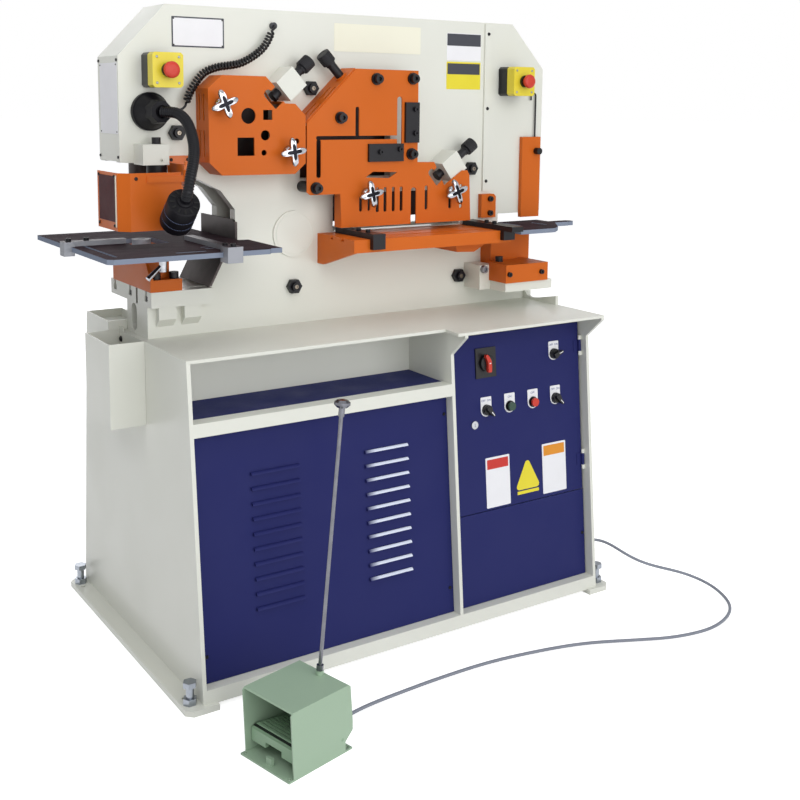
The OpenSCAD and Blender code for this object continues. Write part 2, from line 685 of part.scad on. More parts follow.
// The raked wall climbs from the outline's last point; the hold-down sits this far along it
wall_turn = atan2(143, 149);
wall_foot = [-192, work_z + 299];
boss_along = 172;
angle_down = wall_foot + boss_along * [cos(wall_turn), sin(wall_turn)];
module angle_guard() color(orange) {
    difference() {
        toward_front(guard_y + guard_t, guard_t) difference() {
            polygon(angle_outline);
            for (s = angle_screws) translate(s) circle(7.5);
            for (s = guide_screws) translate(s) circle(4);
            for (k = shear_knobs) translate(k) circle(knob_shaft + 0.05);
            slot([-39, work_z + 261], [-39, work_z + 336], 6);
            slot([-160, work_z + 260], [87, work_z + 260], 5);
            slot([-157, work_z + 162], [-157, work_z + 250], 7);
            slot([96, work_z + 246], [96, work_z + 362], 8);
            polygon([[-12, work_z + 153], [11, work_z + 168], [91, work_z + 165], [64, work_z + 149]]);
            slot([-27, work_z + 66], [-27, work_z + 98], 5);
            slot([-1, work_z + 66], [-1, work_z + 97], 4);
            for (x = [26, 51, 78, 104, 188, 308]) slot([x, work_z + 62], [x, work_z + 120], 5);
            slot([270, work_z + 62], [270, work_z + 88], 5);
            slot([145, work_z], [145, work_z + 112], 9);
            // Notch for the bar hold-down
            translate([206, work_z + 160]) circle(11);
            polygon([[198, work_z + 153], [224, work_z + 122], [276, work_z + 168],
                [250, work_z + 199]]);
        }
    }
    // Raked wall back to the frame with its slots and the boss of the hold-down
    translate([wall_foot[0], face, wall_foot[1]]) rotate([0, -wall_turn, 0]) difference() {
        union() {
            translate([0, guard_y + guard_t + weld_gap - face, 0])
                cube([206, face - guard_y - guard_t - weld_gap, 3]);
            translate([boss_along, hold_y - face, 2]) cylinder(h = 5, r = 17);
        }
        for (x = [28, 88], y = [-64, -38]) translate([x, y, -1]) cube([44, 8, 5]);
        translate([boss_along, hold_y - face, -1]) cylinder(h = 30, r = 12.06);
    }
    // Return flange at the lower left
    block([-89, guard_y + guard_t + weld_gap, work_z + shear_gap], [-86, guard_y + 34, work_z + 109]);
}
guide_t = 8;
guide_screws = [[143, work_z + 336], [143, work_z + 271], [30, work_z + 221], [93, work_z + 228]];
module guide_blocks() color(black) {
    difference() {
        union() {
            block([112, guard_y - guide_t, work_z + 245], [157, guard_y, work_z + 355]);
            block([-6, guard_y - guide_t, work_z + 195], [106, guard_y, work_z + 243]);
        }
        for (s = guide_screws) pin_y(s[0], guard_y + 1, s[1], 4, guide_t + 2);
    }
}
// A chrome screw with a pad below and a knurled cap above, along its own leaning axis
module hold_down(at, angle, below, above) {
    translate([at[0], hold_y, at[1]]) rotate([0, 90 - angle, 0]) {
        translate([0, 0, -below]) cylinder(h = below + above, r = 12);
        translate([0, 0, -below - 8]) cylinder(h = 8.5, r = 14);
        translate([0, 0, above - 30]) cylinder(h = 30, r = 19);
        translate([0, 0, above - 38]) cylinder(h = 8.5, r = 15, $fn = 6);
    }
}
module section_hold_down() color(steel) {
    hold_down(section_down, section_down_angle, 46, 92);
}
module angle_hold_down() color(steel) {
    hold_down(angle_down, 90 + wall_turn, 24, 84);
}
module bar_hold_down() color(steel) {
    hold_down(bar_down, bar_down_angle, 44, 106);
}
module star_knob(at) {
    // Four forged arms round a turned hub, on a shaft through the guard
    tip = guard_y - 37;
    pin_y(at[0], guard_y + 22, at[1], knob_shaft, 30);
    pin_y(at[0], guard_y - 0.5, at[1], 14, 6);
    pin_y(at[0], guard_y - 6, at[1], 11, 14);
    translate([at[0], tip + 18, at[1]]) rotate([90, 0, 0]) {
        cylinder(h = 18, r1 = 13, r2 = 11);
        for (i = [0 : 3]) rotate(i * 90 + 20) {
            translate([0, -6, 5]) cube([star_reach - 8, 12, 11]);
            translate([star_reach - 8, 0, 3]) cylinder(h = 14, r = 8);
        }
    }
}
module upper_section_knob() color(steel) star_knob(section_knobs[0]);
module lower_section_knob() color(steel) star_knob(section_knobs[1]);
module left_shear_knob() color(steel) star_knob(shear_knobs[0]);
module right_shear_knob() color(steel) star_knob(shear_knobs[1]);

// ---- Shear table and notcher ----
shear_x = [-118, 402];
shear_front = -265;
module shear_table() color(orange) {
    difference() {
        block([shear_x[0], shear_front, work_z - table_t], [shear_x[1], face, work_z]);
        for (y = [-150, -205]) {
            block([shear_x[0] - 1, y - 4, work_z - 8], [shear_x[1] + 1, y + 4, work_z + 1]);
            block([shear_x[0] - 1, y - 7, work_z - 9], [shear_x[1] + 1, y + 7, work_z - 5]);
        }
    }
    // Front lip, end gusset and the bracket underneath
    block([shear_x[0], shear_front, work_z - 34], [shear_x[1], shear_front + 10, work_z - table_t + 1]);
    toward_right(shear_x[0], 10) polygon([[face, work_z - table_t + 1], [face, work_z - 82],
        [face - 30, work_z - 82], [shear_front, work_z - 34], [shear_front, work_z - table_t + 1]]);
    toward_front(face, 125) polygon([[250, work_z - table_t + 1], [262, work_z - 62],
        [322, work_z - 65], [372, work_z - 40], [372, work_z - table_t + 1]]);
}
// A black bar across the shear table, hooked over its front lip
module shear_guide(x0, x1, front) {
    z = work_z + gauge_gap;
    block([x0, front, z], [x1, face - 14, z + 14.5]);
    block([x0, shear_front - 16, work_z - 26], [x1, shear_front - gauge_gap, z + 1]);
}
module left_shear_guide() color(black) shear_guide(-70, -32, shear_front - 16);
module right_shear_guide() color(black) shear_guide(362, 402, shear_front - 52);
module notcher_block() color(orange) {
    top = work_z - table_t;
    difference() {
        union() {
            // Pedestal on the frame, lower block on the bracket's shelf
            block([right - 223, face - 38, notch_z], [right - 67, face, top]);
            block([right - 223, face - 50, notch_z + 52], [right - 123, face, top]);
            block([right - 250, notch_front, notch_z], [right - 93, face - 78, notch_z + 53]);
            block([right - 232, face - 79, notch_z], [right - 93, face - 37, notch_z + 53]);
            // Pad with two screws above the table
            toward_front(face, face - notch_pad_y) polygon([[pad_x[0], work_z + 17],
                [pad_x[0], work_z + 87], [pad_x[1] - 8, work_z + 87], [pad_x[1], work_z + 79],
                [pad_x[1], work_z + 17]]);
        }
        for (z = pad_screw_z) pin_y(pad_x[0] + 31, notch_pad_y + 13, z, 4.5, 20);
        for (x = [right - 239, right - 119]) pin_y(x, notch_front + 12, notch_z + 26, 4, 20);
        translate([right - 215, face - 80, notch_z + 36]) cylinder(h = 30, r = 6.2);
    }
}
module notcher_table() color(steel) {
    upward(work_z - table_t, table_t) difference() {
        union() {
            polygon([[419, -288], [545, -288], [585, -255], [648, -170], [700, -170], [720, -160],
                [720, -140], [700, -130], [655, -130], [655, -76], [419, -76]]);
            translate([714, -150]) circle(18);
        }
        translate([455, -190]) square([48, 120]);
        slot([585, -200], [585, -140], 4);
    }
}
guard_lift = 40;
notcher_x = [right - 82, right - 11];
notcher_guard_y = face - 14;
guard_knob = [right - 28, work_z + 212];
module notcher_guard() color(orange) {
    z = [work_z + 12, work_z + 255];
    difference() {
        union() {
            block([notcher_x[0], notcher_guard_y, z[0]], [notcher_x[1], notcher_guard_y + 3, z[1]]);
            // Folds that run on the frame
            for (x = [notcher_x[0], notcher_x[1] - 3])
                block([x, notcher_guard_y, z[0]], [x + 3, face - 0.4, z[1]]);
        }
        pin_y(guard_knob[0], face, guard_knob[1], 5.1, 30);
    }
}
module notcher_guard_rod() color(black) {
    x = guard_knob[0];
    y = face - 6.5;
    // Knob and its stem through the guard, rod with its hook behind
    pin_y(x, notcher_guard_y - 0.3, guard_knob[1], 10, 18);
    pin_y(x, y + 2, guard_knob[1], 5, y + 3 - notcher_guard_y);
    translate([x, y, guard_knob[1]]) cylinder(h = 165, r = 2.5);
    translate([x - 9, y, guard_knob[1] + 165]) rotate([90, 0, 0])
        rotate_extrude(angle = 180, $fn = 32) translate([9, 0]) circle(2.5, $fn = 16);
    translate([x - 18, y, guard_knob[1] + 153]) cylinder(h = 12, r = 2.5);
}

// ---- Punch guard, lamp and stop boxes ----
hinge_at = [left + 113, guard_y - 55];
module bracket() {
    // Bracket of the punch guard, its arm and its hinge pin
    block([left + 119, face - 4, work_z + 129], [left + 178, face, work_z + 217]);
    block([left + 122, hinge_at[1] - 7, work_z + 150], [left + 128, face - 3, work_z + 200]);
    for (z = [150, 190]) block([hinge_at[0] - 7, hinge_at[1] - 7, work_z + z],
        [left + 123, hinge_at[1] + 7, work_z + z + 10]);
    translate([hinge_at[0], hinge_at[1], work_z + 140]) cylinder(h = 70, r = 4);
}
module punch_guard() color(orange) {
    z = [work_z + 47, work_z + 184];
    x = [left - 49, hinge_at[0] - 12];
    t = 2.5;
    difference() {
        upward(z[0], z[1] - z[0]) difference() {
            polygon([[x[0], -42], [x[0], -178], [x[0] + 24, -202], [x[1], -202], [x[1], -202 + t],
                [x[0] + 25, -202 + t], [x[0] + t, -177], [x[0] + t, -42]]);
        }
        block([x[0] - 1, -168, work_z + 79], [x[0] + 5, -57, work_z + 175]);
    }
    // Hinge strap with its barrel
    block([x[0] + 64, -205, work_z + 161], [hinge_at[0] - 6, -202, work_z + 177]);
    difference() {
        union() {
            translate([hinge_at[0], hinge_at[1], work_z + 160.5]) cylinder(h = 29, r = 7.5);
            block([hinge_at[0] - 8, -205, work_z + 161], [hinge_at[0], -199, work_z + 177]);
        }
        translate([hinge_at[0], hinge_at[1], work_z + 159]) cylinder(h = 32, r = 4.05);
    }
}
// ---- Swept tubes ----
// A point on the smooth curve through p, at parameter t from 0 to len(p) - 1
function curve_at(p, t) = let (i = min(floor(t), len(p) - 2), f = t - i,
        a = p[max(i - 1, 0)], b = p[i], c = p[i + 1], d = p[min(i + 2, len(p) - 1)])
    0.5 * (2 * b + (c - a) * f + (2 * a - 5 * b + 4 * c - d) * f * f + (3 * b - a - 3 * c + d) * f * f * f);
function smooth(p, steps) = [for (k = [0 : steps * (len(p) - 1)]) curve_at(p, k / steps)];
function unit(v) = v / norm(v);
function heading(q, i) = unit(q[min(i + 1, len(q) - 1)] - q[max(i - 1, 0)]);
// Rings of a tube, carried along without twist
function side_at(q, i) = let (h = heading(q, i),
        s = i == 0 ? (abs(h[2]) > 0.9 ? [1, 0, 0] : [0, 0, 1]) : side_at(q, i - 1)) unit(s - (s * h) * h);
module tube(q, r, sides) {
    n = len(q);
    rings = [for (i = [0 : n - 1]) let (h = heading(q, i), s = side_at(q, i), c = cross(h, s))
        for (k = [0 : sides - 1]) q[i] + r * (cos(k * 360 / sides) * s + sin(k * 360 / sides) * c)];
    walls = [for (i = [0 : n - 2], k = [0 : sides - 1], half = [0, 1])
        let (a = i * sides + k, b = i * sides + (k + 1) % sides)
        half == 0 ? [a, b, a + sides] : [b, b + sides, a + sides]];
    caps = [for (k = [1 : sides - 2], end = [0, 1]) let (o = end * (n - 1) * sides)
        end == 0 ? [0, k + 1, k] : [o, o + k, o + k + 1]];
    polyhedron(points = rings, faces = [for (f = concat(walls, caps)) [f[0], f[2], f[1]]]);
}

// ---- Lamp and its cord ----
lamp_at = [left + 74, work_z + 326];
lamp_reach = 85;
neck_r = 11.5;
neck_points = [[left + 76, face - lamp_reach, work_z + 326], [left + 97, -195, work_z + 323],
    [left + 103, -240, work_z + 301], [left + 98, -285, work_z + 258], [left + 82, -322, work_z + 220],
    [left + 64, -345, work_z + 182], [left + 56, -350, work_z + 154],
    [left + 56, -340, work_z + 138], [left + 57, -330, work_z + 130]];
module lamp_arm() color(black) {
    // Round base, cone and eight-sided nut of the flexible arm
    pin_y(lamp_at[0], face, lamp_at[1], 47, 14);
    translate([lamp_at[0], face - 14 + eps, lamp_at[1]]) rotate([90, 0, 0])
        cylinder(h = 40, r1 = 45, r2 = 30);
    difference() {
        translate([lamp_at[0], face - 52, lamp_at[1]]) rotate([90, 22.5, 0])
            cylinder(h = lamp_reach - 52.4, r1 = 32, r2 = 27, $fn = 8);
        pin_y(lamp_at[0], face - lamp_reach + 12, lamp_at[1], 16, 30);
    }
    tube(smooth(neck_points, 4), neck_r, 12);
}
head_r = 38;
head_len = 96;
module lamp_head() color(black) {
    translate(neck_points[8]) rotate([51.7, -7, 0]) {
        translate([0, 0, -10]) cylinder(h = 9.2, r1 = 20, r2 = 13);
        difference() {
            union() {
                translate([0, 0, -head_len]) cylinder(h = head_len - 9, r = head_r);
                // Grip ribs round the shade
                for (z = [0.5, 0.78, 0.97]) translate([0, 0, -head_len * z]) cylinder(h = 4, r = head_r + 1.2);
            }
            translate([0, 0, -head_len - 1]) cylinder(h = head_len - 15, r = head_r - 3);
            for (i = [0 : 11]) rotate(i * 30 + 15) translate([24, -1.5, -20]) cube([9, 3, 14]);
        }
        // Bulb and its holder
        translate([0, 0, -40]) cylinder(h = 24 + eps, r = 14);
        translate([0, 0, -56]) sphere(20);
    }
}
curl_r = 10;
grommet = [-252, 1612];
curl_points = [[-264, -95, 1598], [-293, -95, 1552], [-352, -95, 1515], [-419, -95, 1502],
    [-459, -95, 1484], [-492, -95, 1440], [-502, -95, 1411]];
module curly_cord() color(black) {
    tube(smooth(curl_points, 5), curl_r, 12);
    // Straight ends: to the grommet in the frame, and to the lamp's base
    tube(concat([[grommet[0], face - 10, grommet[1]]],
        smooth([[-252, -85, 1612], [-254, -92, 1610], [-259, -95, 1605], [-264, -95, 1598]], 3)), 3.5, 8);
    tube(smooth([[-502, -95, 1411], [-512, -95, 1400], [-530, -96, 1392], [-547, -96, 1392]], 3), 3.5, 8);
}
conduit_r = 4.5;
conduit_points = [[-413, -661, 22], [-390, -650, 15], [-333, -615, 8], [-212, -616, 6],
    [-62, -604, 6], [115, -610, 6], [337, -654, 6], [494, -723, 6], [588, -764, 6], [700, -783, 6],
    [788, -766, 6], [862, -724, 7], [900, -669, 8], [924, -584, 10], [883, -528, 30],
    [763, -493, 70], [705, -450, 98], [680, -392, 118], [668, -356, 125], [652, -350, 125]];
module foot_conduit() color("#8E93A0") {
    // From the pedal's gland to the gland in the cabinet's side
    tube(concat([pedal_out(0), pedal_out(5)], smooth(conduit_points, 4),
        [[base_x + 24, gland_y, gland_z]]), conduit_r, 8);
}
module cable_glands() color("#3A3D45") {
    // Gland of the foot conduit in the cabinet's side
    translate([base_x, gland_y, gland_z]) rotate([0, 90, 0]) {
        translate([0, 0, -wall - 14]) cylinder(h = wall + 22, r = 12.2 - 0.05);
        cylinder(h = 8, r = 17, $fn = 6);
        translate([0, 0, 8]) cylinder(h = 16, r1 = 13, r2 = 7);
        translate([0, 0, -wall - 8]) cylinder(h = 8, r = 17, $fn = 6);
    }
    // Grommet of the lamp's cord in the frame
    pin_y(grommet[0], face, grommet[1], 9, 10);
}

// ---- Stop boxes and mushrooms ----
stop_at = [[left + 96, work_z + 426], [right - 129, work_z + 419]];
stop_front = face - 73;
module stop_boxes() color("#E8D63A") {
    for (s = stop_at) difference() {
        union() {
            toward_front(face, face - stop_front) polygon([for (c = [[-1, 1], [1, 1], [1, -1], [-1, -1]],
                e = [0, 1]) let (first = (c[0] * c[1] < 0) == (e == 0))
                [s[0] + c[0] * (first ? 39 : 33), s[1] + c[1] * (first ? 36 : 42)]]);
            pin_y(s[0], stop_front + eps, s[1], 17, 8);
        }
        pin_y(s[0], stop_front + 22, s[1], 12.3, 40);
        // Parting groove between cover and base
        difference() {
            translate([s[0] - 60, stop_front + 32, s[1] - 60]) cube([120, 1.5, 120]);
            translate([s[0] - 37.5, stop_front + 31, s[1] - 40.5]) cube([75, 4, 81]);
        }
    }
}
stop_travel = 6;
module mushroom(at) {
    translate([at[0], stop_front - 17, at[1]]) rotate([90, 0, 0]) {
        translate([0, 0, -32]) cylinder(h = 32 + eps, r = 12);
        rotate_extrude() polygon([[0, 0], [mushroom_r - 2, 0], [mushroom_r, 3], [mushroom_r, 8],
            [mushroom_r - 2.5, 11.5], [mushroom_r - 8, 13.5], [0, 14.5]]);
    }
}
module left_stop_mushroom() color("#D24A3C") mushroom(stop_at[0]);
module right_stop_mushroom() color("#D24A3C") mushroom(stop_at[1]);

// ---- Foot pedal ----
pedal_turn = 13.5;
tread_hinge = [66, 34];
pedal_at = [-520, -689, 0];
gland_out = 101;
module on_pedal() {
    translate(pedal_at) rotate(pedal_turn) children();
}
// A point d in front of the pedal's gland
function pedal_out(d) = pedal_at + (gland_out + d) * [cos(pedal_turn), sin(pedal_turn), 0] + [0, 0, 22];
module pedal_guard() color("#AFC8AD") on_pedal() {
    t = 3;
    h = pedal_h;
    w = pedal_w / 2;
    difference() {
        union() {
            translate([0, w, 0]) rotate([90, 0, 0]) linear_extrude(pedal_w)
                polygon([[-76, 0.5], [-84, h - 6], [-78, h], [84, h], [90, h - 5], [97, 66],
                    [97, 46], [75, 26], [75, 0.5]]);
            translate([-90, -w, 0.5]) cube([186, pedal_w, 4]);
        }
        translate([0, w - t, 0]) rotate([90, 0, 0]) linear_extrude(pedal_w - 2 * t)
            polygon([[-96, 4.5], [-96, h - t], [83, h - t], [87, h - 6], [94, 66], [94, 47],
                [72, 27], [72, 4.5]]);
        for (x = [-82, 87], y = [-w + 8, w - 8]) translate([x, y, -1]) cylinder(h = 8, r = 3.5);
        // Holes of the treadle's pivot
        translate([tread_hinge[0], 0, tread_hinge[1]]) rotate([90, 0, 0])
            cylinder(h = pedal_w + 2, r = 4.05, center = true);
    }
    // Boss of the rod, gland of the conduit and stop tab in front of the treadle
    difference() {
        translate([72, 0, h - eps]) cylinder(h = 10, r = 9);
        translate([72, 0, h - 1]) cylinder(h = 13, r = 4);
    }
    translate([74, 0, 22]) rotate([0, 90, 0]) cylinder(h = gland_out - 74, r = 9);
    translate([-78, -9, 4.5 - eps]) cube([8, 18, 16]);
    // Switch block behind the treadle
    translate([76, -20, 56]) cube([15, 40, 34]);
}
module pedal_treadle() color("#5D7A62") on_pedal() {
    w = pedal_w / 2 - 6;
    difference() {
        union() {
            translate([tread_hinge[0], w, tread_hinge[1]]) rotate([90, 0, 0]) linear_extrude(2 * w)
                polygon([[0, 6], [-118, 27], [-130, 22], [-130, -7], [-122, -7], [-118, 14], [0, -6]]);
            for (i = [0 : 8]) translate([tread_hinge[0] - 22 - i * 12, -w + 6, tread_hinge[1] + 7 + i * 2])
                cube([6, 2 * w - 12, 7]);
        }
        translate([tread_hinge[0] - 134, -26, 0]) cube([14, 52, 40]);
    }
    // Pivot ends in the guard's side walls
    translate([tread_hinge[0], 0, tread_hinge[1]]) rotate([90, 0, 0]) {
        cylinder(h = pedal_w - 0.4, r = 4, center = true);
        cylinder(h = 2 * w, r = 7, center = true);
    }
}
rod_lean = 5.3;
module pedal_rod() color(steel) on_pedal() translate([72, 0, pedal_h + 10])
    rotate([0, 0, -pedal_turn]) rotate([0, rod_lean, 0]) {
        translate([0, 0, 0.8]) cylinder(h = 12, r = 8);
        translate([0, 0, 1]) cylinder(h = rod_len - 12, r = 4.5);
        translate([0, 0, rod_len - 14]) cylinder(h = 20, r = 7);
        translate([0, 0, rod_len + 6]) rotate_extrude() polygon([[0, 0], [12, 0], [18, 6], [18, 12],
            [12, 17], [0, 19]]);
    }

// ---- Control door ----
door_x = [150, base_x - 16];
door_z = [301, 790];
row_z = 581;
selectors = [[261, row_z], [512, row_z], [511, 709]];
buttons = [[344, row_z], [428, row_z]];
main_at = [263, 712];
lock_at = [218, 545];
stem_r = 8;
bezel_r = 15;
// Door hinge: line of the pins in front of the door's right edge, and where the barrels stand
hinge_x = door_x[1] + 1;
hinge_out = 5;
hinge_z = [372, 706];
barrel_h = 34;
module on_door(at) {
    on_front(at[1]) translate([at[0], 0, 0]) children();
}
// A round bar along the door's normal, from depth y towards the front
module door_pin(y, h, r) {
    translate([0, y, 0]) rotate([90, 0, 0]) cylinder(h = h, r = r);
}
module control_door() color(navy) {
    h = (door_z[1] - door_z[0]) / cos(lean);
    w = door_x[1] - door_x[0];
    difference() {
        on_front(door_z[0]) translate([door_x[0], 0, 0]) {
            cube([w, sheet, h]);
            // Folds at the free edge, top and bottom
            cube([sheet, 14, h]);
            cube([w, 14, sheet]);
            translate([0, 0, h - sheet]) cube([w, 14, sheet]);
        }
        for (s = concat(selectors, buttons)) on_door(s) door_pin(5, 10, bezel_r - 4);
        on_door(main_at) door_pin(5, 10, bezel_r - 4);
        on_door(lock_at) door_pin(5, 10, stem_r + 0.06);
    }
    // Hinge barrels with their leaves
    for (z = hinge_z) on_door([hinge_x, z]) difference() {
        union() {
            translate([0, -hinge_out, 0.3]) cylinder(h = barrel_h - 0.6, r = 4.5);
            translate([-5, -hinge_out, 0.3]) cube([4, hinge_out + eps, barrel_h - 0.6]);
            translate([-20, -1.5, 0.3]) cube([19, 1.5 + eps, barrel_h - 0.6]);
        }
        translate([0, -hinge_out, -1]) cylinder(h = barrel_h + 2, r = 2.55);
    }
}
module switch_bodies() color(black) {
    for (s = concat(selectors, buttons)) on_door(s) difference() {
        union() {
            door_pin(10, 10, bezel_r - 4);
            door_pin(0, 4, bezel_r);
            translate([-14, sheet, -14]) cube([28, 46, 28]);
        }
        door_pin(16, 30, stem_r + 0.06);
    }
    on_door(main_at) difference() {
        union() {
            door_pin(10, 12, bezel_r - 4);
            translate([-35, -4, -41.5]) cube([70, 4, 83]);
            translate([-30, sheet, -32]) cube([60, 62, 64]);
        }
        door_pin(16, 30, stem_r + 0.06);
    }
}
module selector(at) {
    on_door(at) {
        door_pin(15, 20, stem_r);
        door_pin(-4.3, 8, knob_r);
        rotate([0, -40, 0]) translate([-5, -20, -knob_r + 1]) cube([10, 10, 2 * knob_r + 4]);
    }
}
module left_selector() color(black) selector(selectors[0]);
module right_selector() color(black) selector(selectors[1]);
module upper_selector() color(black) selector(selectors[2]);
module main_switch_lever() color("#C8382E") on_door(main_at) {
    door_pin(15, 20, stem_r);
    door_pin(-4.3, 10, 19);
    translate([-7, -24, -22]) cube([14, 11, 44]);
}
press = 4;
module push_button(at) {
    on_door(at) {
        door_pin(10, 20, stem_r);
        door_pin(-4.3 - press, 6, 12);
    }
}
module start_button() color("#2E7D4F") push_button(buttons[0]);
module stop_button() color("#D24A3C") push_button(buttons[1]);
module door_lock() color(steel) on_door(lock_at) {
    difference() {
        union() {
            door_pin(22, 22.5, stem_r);
            door_pin(-0.3, 4, 11);
        }
        translate([-1, -6, -5]) cube([2, 4, 10]);
    }
    translate([-7, 19, -26]) cube([14, 3, 30]);
}

base_cabinet();
levelling_bolts();
tool_shelf_mat();
cabinet_panels();
slug_boxes();
hydraulic_tank();
pump_motor();
machine_frame();
frame_covers();
black_fasteners();
die_bolster();
punch_die();
punch_table();
throat_fence();
hydraulic_cylinders();
section_guard();
angle_guard();
guide_blocks();
shear_table();
notcher_block();
notcher_table();
pivot_pin();
beam_ram();
lamp_arm();
lamp_head();
curly_cord();
foot_conduit();
cable_glands();
stop_boxes();
pedal_guard();
pedal_rod();
control_door();
switch_bodies();
main_switch_lever();
left_selector();
right_selector();
upper_selector();
start_button();
stop_button();
door_lock();
left_stop_mushroom();
right_stop_mushroom();
upper_section_knob();
lower_section_knob();
left_shear_knob();
right_shear_knob();
section_hold_down();
angle_hold_down();
bar_hold_down();
table_clamp_lever();
left_punch_gauge();
right_punch_gauge();
left_shear_guide();
right_shear_guide();
notcher_guard();
notcher_guard_rod();
punch_guard();
punch_ram();
rocker_beam();
pedal_treadle();
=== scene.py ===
"""Looks of a hydraulic ironworker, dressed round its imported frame.

The frame's nodes keep their shapes and get their finishes here. Plates, screw heads, star
knobs, the lamp and the two cords are made as pieces of their own, each riding on a body.
"""

import logging
import math
from collections.abc import Sequence
from dataclasses import dataclass
from enum import Enum

import bmesh
import bpy
from mathutils import Matrix, Vector

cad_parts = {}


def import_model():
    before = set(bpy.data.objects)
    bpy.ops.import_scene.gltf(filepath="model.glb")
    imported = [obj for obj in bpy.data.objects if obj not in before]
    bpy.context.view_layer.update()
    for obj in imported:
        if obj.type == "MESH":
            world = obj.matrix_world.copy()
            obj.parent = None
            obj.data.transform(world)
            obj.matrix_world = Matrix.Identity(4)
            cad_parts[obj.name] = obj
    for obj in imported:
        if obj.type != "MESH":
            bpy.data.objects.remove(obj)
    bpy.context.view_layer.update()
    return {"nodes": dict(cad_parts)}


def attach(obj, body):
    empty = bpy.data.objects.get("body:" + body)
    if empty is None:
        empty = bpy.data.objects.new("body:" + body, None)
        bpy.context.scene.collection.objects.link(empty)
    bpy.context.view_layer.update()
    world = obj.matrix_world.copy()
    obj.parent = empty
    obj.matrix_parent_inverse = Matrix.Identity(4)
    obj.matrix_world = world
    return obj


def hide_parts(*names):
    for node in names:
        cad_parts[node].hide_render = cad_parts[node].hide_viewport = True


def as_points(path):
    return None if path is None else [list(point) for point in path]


log = logging.getLogger("ironworker")

MM = 0.001
LEAN = math.radians(5.2)
DOOR_Y = -399.0
FACE_Y = -72.0
GUARD_Y = -148.0
WORK_Z = 1065.0
LEFT_X = -665.0
GLAND_AT = (646.0, -350.0, 125.0)
BOX_STOPS = ((-569, 1491), (536, 1484))
PEDAL_AT = (-520.0, -689.0)
PEDAL_TURN = math.radians(13.5)
CREASE = 35.0

Point = tuple[float, float, float]
Flat = tuple[float, float]
Tree = bpy.types.NodeTree
Socket = bpy.types.NodeSocket
Piece = bpy.types.Object


class Way(Enum):
    """The side that a flat piece faces."""

    FRONT = "front"
    LEFT = "left"
    DOOR = "door"


def linear(code: str) -> tuple[float, float, float, float]:
    """Turns an sRGB hex colour into linear light.

    Args:
        code: Six hex digits after a hash sign.

    Returns:
        Red, green, blue and an alpha of 1.
    """
    parts = [int(code[i : i + 2], 16) / 255 for i in (1, 3, 5)]
    light = [c / 12.92 if c <= 0.04045 else ((c + 0.055) / 1.055) ** 2.4 for c in parts]
    return (light[0], light[1], light[2], 1.0)


# ---- Nodes ----


def add(
    tree: Tree, kind: str, settings: dict | None = None, links: dict | None = None
) -> bpy.types.Node:
    """Adds a node with its settings and what feeds its inputs.

    Args:
        tree: The node tree that takes the node.
        kind: Blender's name for the node's type.
        settings: Properties of the node by name.
        links: Inputs by name or index, each a value or another node's output.

    Returns:
        The new node.
    """
    node = tree.nodes.new(kind)
    for name, value in (settings or {}).items():
        setattr(node, name, value)
    for key, value in (links or {}).items():
        socket = node.inputs[key]
        if isinstance(value, bpy.types.NodeSocket):
            tree.links.new(value, socket)
        else:
            socket.default_value = value
    return node


def emptied(owner: bpy.types.Material | bpy.types.World) -> Tree:
    """Node tree of a material or a world, cleared."""
    owner.use_nodes = True
    owner.node_tree.nodes.clear()
    return owner.node_tree


def maths(tree: Tree, operation: str, *values: float | Socket) -> Socket:
    """Result of a math node that is fed in order."""
    return add(tree, "ShaderNodeMath", {"operation": operation}, dict(enumerate(values))).outputs[0]


def vectors(tree: Tree, operation: str, *values: Point | Socket) -> Socket:
    """Result of a vector math node that is fed in order."""
    node = add(tree, "ShaderNodeVectorMath", {"operation": operation}, dict(enumerate(values)))
    return node.outputs["Value" if operation == "DOT_PRODUCT" else "Vector"]


def part(tree: Tree, vector: Socket, axis: str) -> Socket:
    """One coordinate of a vector."""
    return add(tree, "ShaderNodeSeparateXYZ", links={0: vector}).outputs[axis]


def rise(tree: Tree) -> Socket:
    """How far a face looks up: 1 on a floor, 0 on a wall."""
    return part(tree, add(tree, "ShaderNodeNewGeometry").outputs["True Normal"], "Z")


def ramp(tree: Tree, value: Socket, start: Flat, end: tuple) -> Socket:
    """Maps a value from one range to another and keeps it inside."""
    return add(tree, "ShaderNodeMapRange", links={
        "Value": value, "From Min": start[0], "From Max": start[1],
        "To Min": end[0], "To Max": end[1],
    }).outputs[0]


def noise(tree: Tree, place: Socket, scale: float, detail: float) -> Socket:
    """Cloudy pattern around a half."""
    return add(tree, "ShaderNodeTexNoise", links={
        "Vector": place, "Scale": scale, "Detail": detail,
    }).outputs["Fac"]


def blended(tree: Tree, share: Socket, first: Socket | tuple, second: Socket | tuple) -> Socket:
    """Colour between two others."""
    return add(tree, "ShaderNodeMix", {"data_type": "RGBA"},
               {0: share, 6: first, 7: second}).outputs[2]


def bumped(tree: Tree, height: Socket, strength: float, distance: float) -> Socket:
    """Normal of a surface with a small relief, its height in metres."""
    return add(tree, "ShaderNodeBump", links={
        "Height": height, "Strength": strength, "Distance": distance,
    }).outputs[0]


# ---- Shapes ----


def spot(x: float, y: float, z: float) -> Vector:
    """A point given in millimetres, in metres."""
    return Vector((x, y, z)) * MM


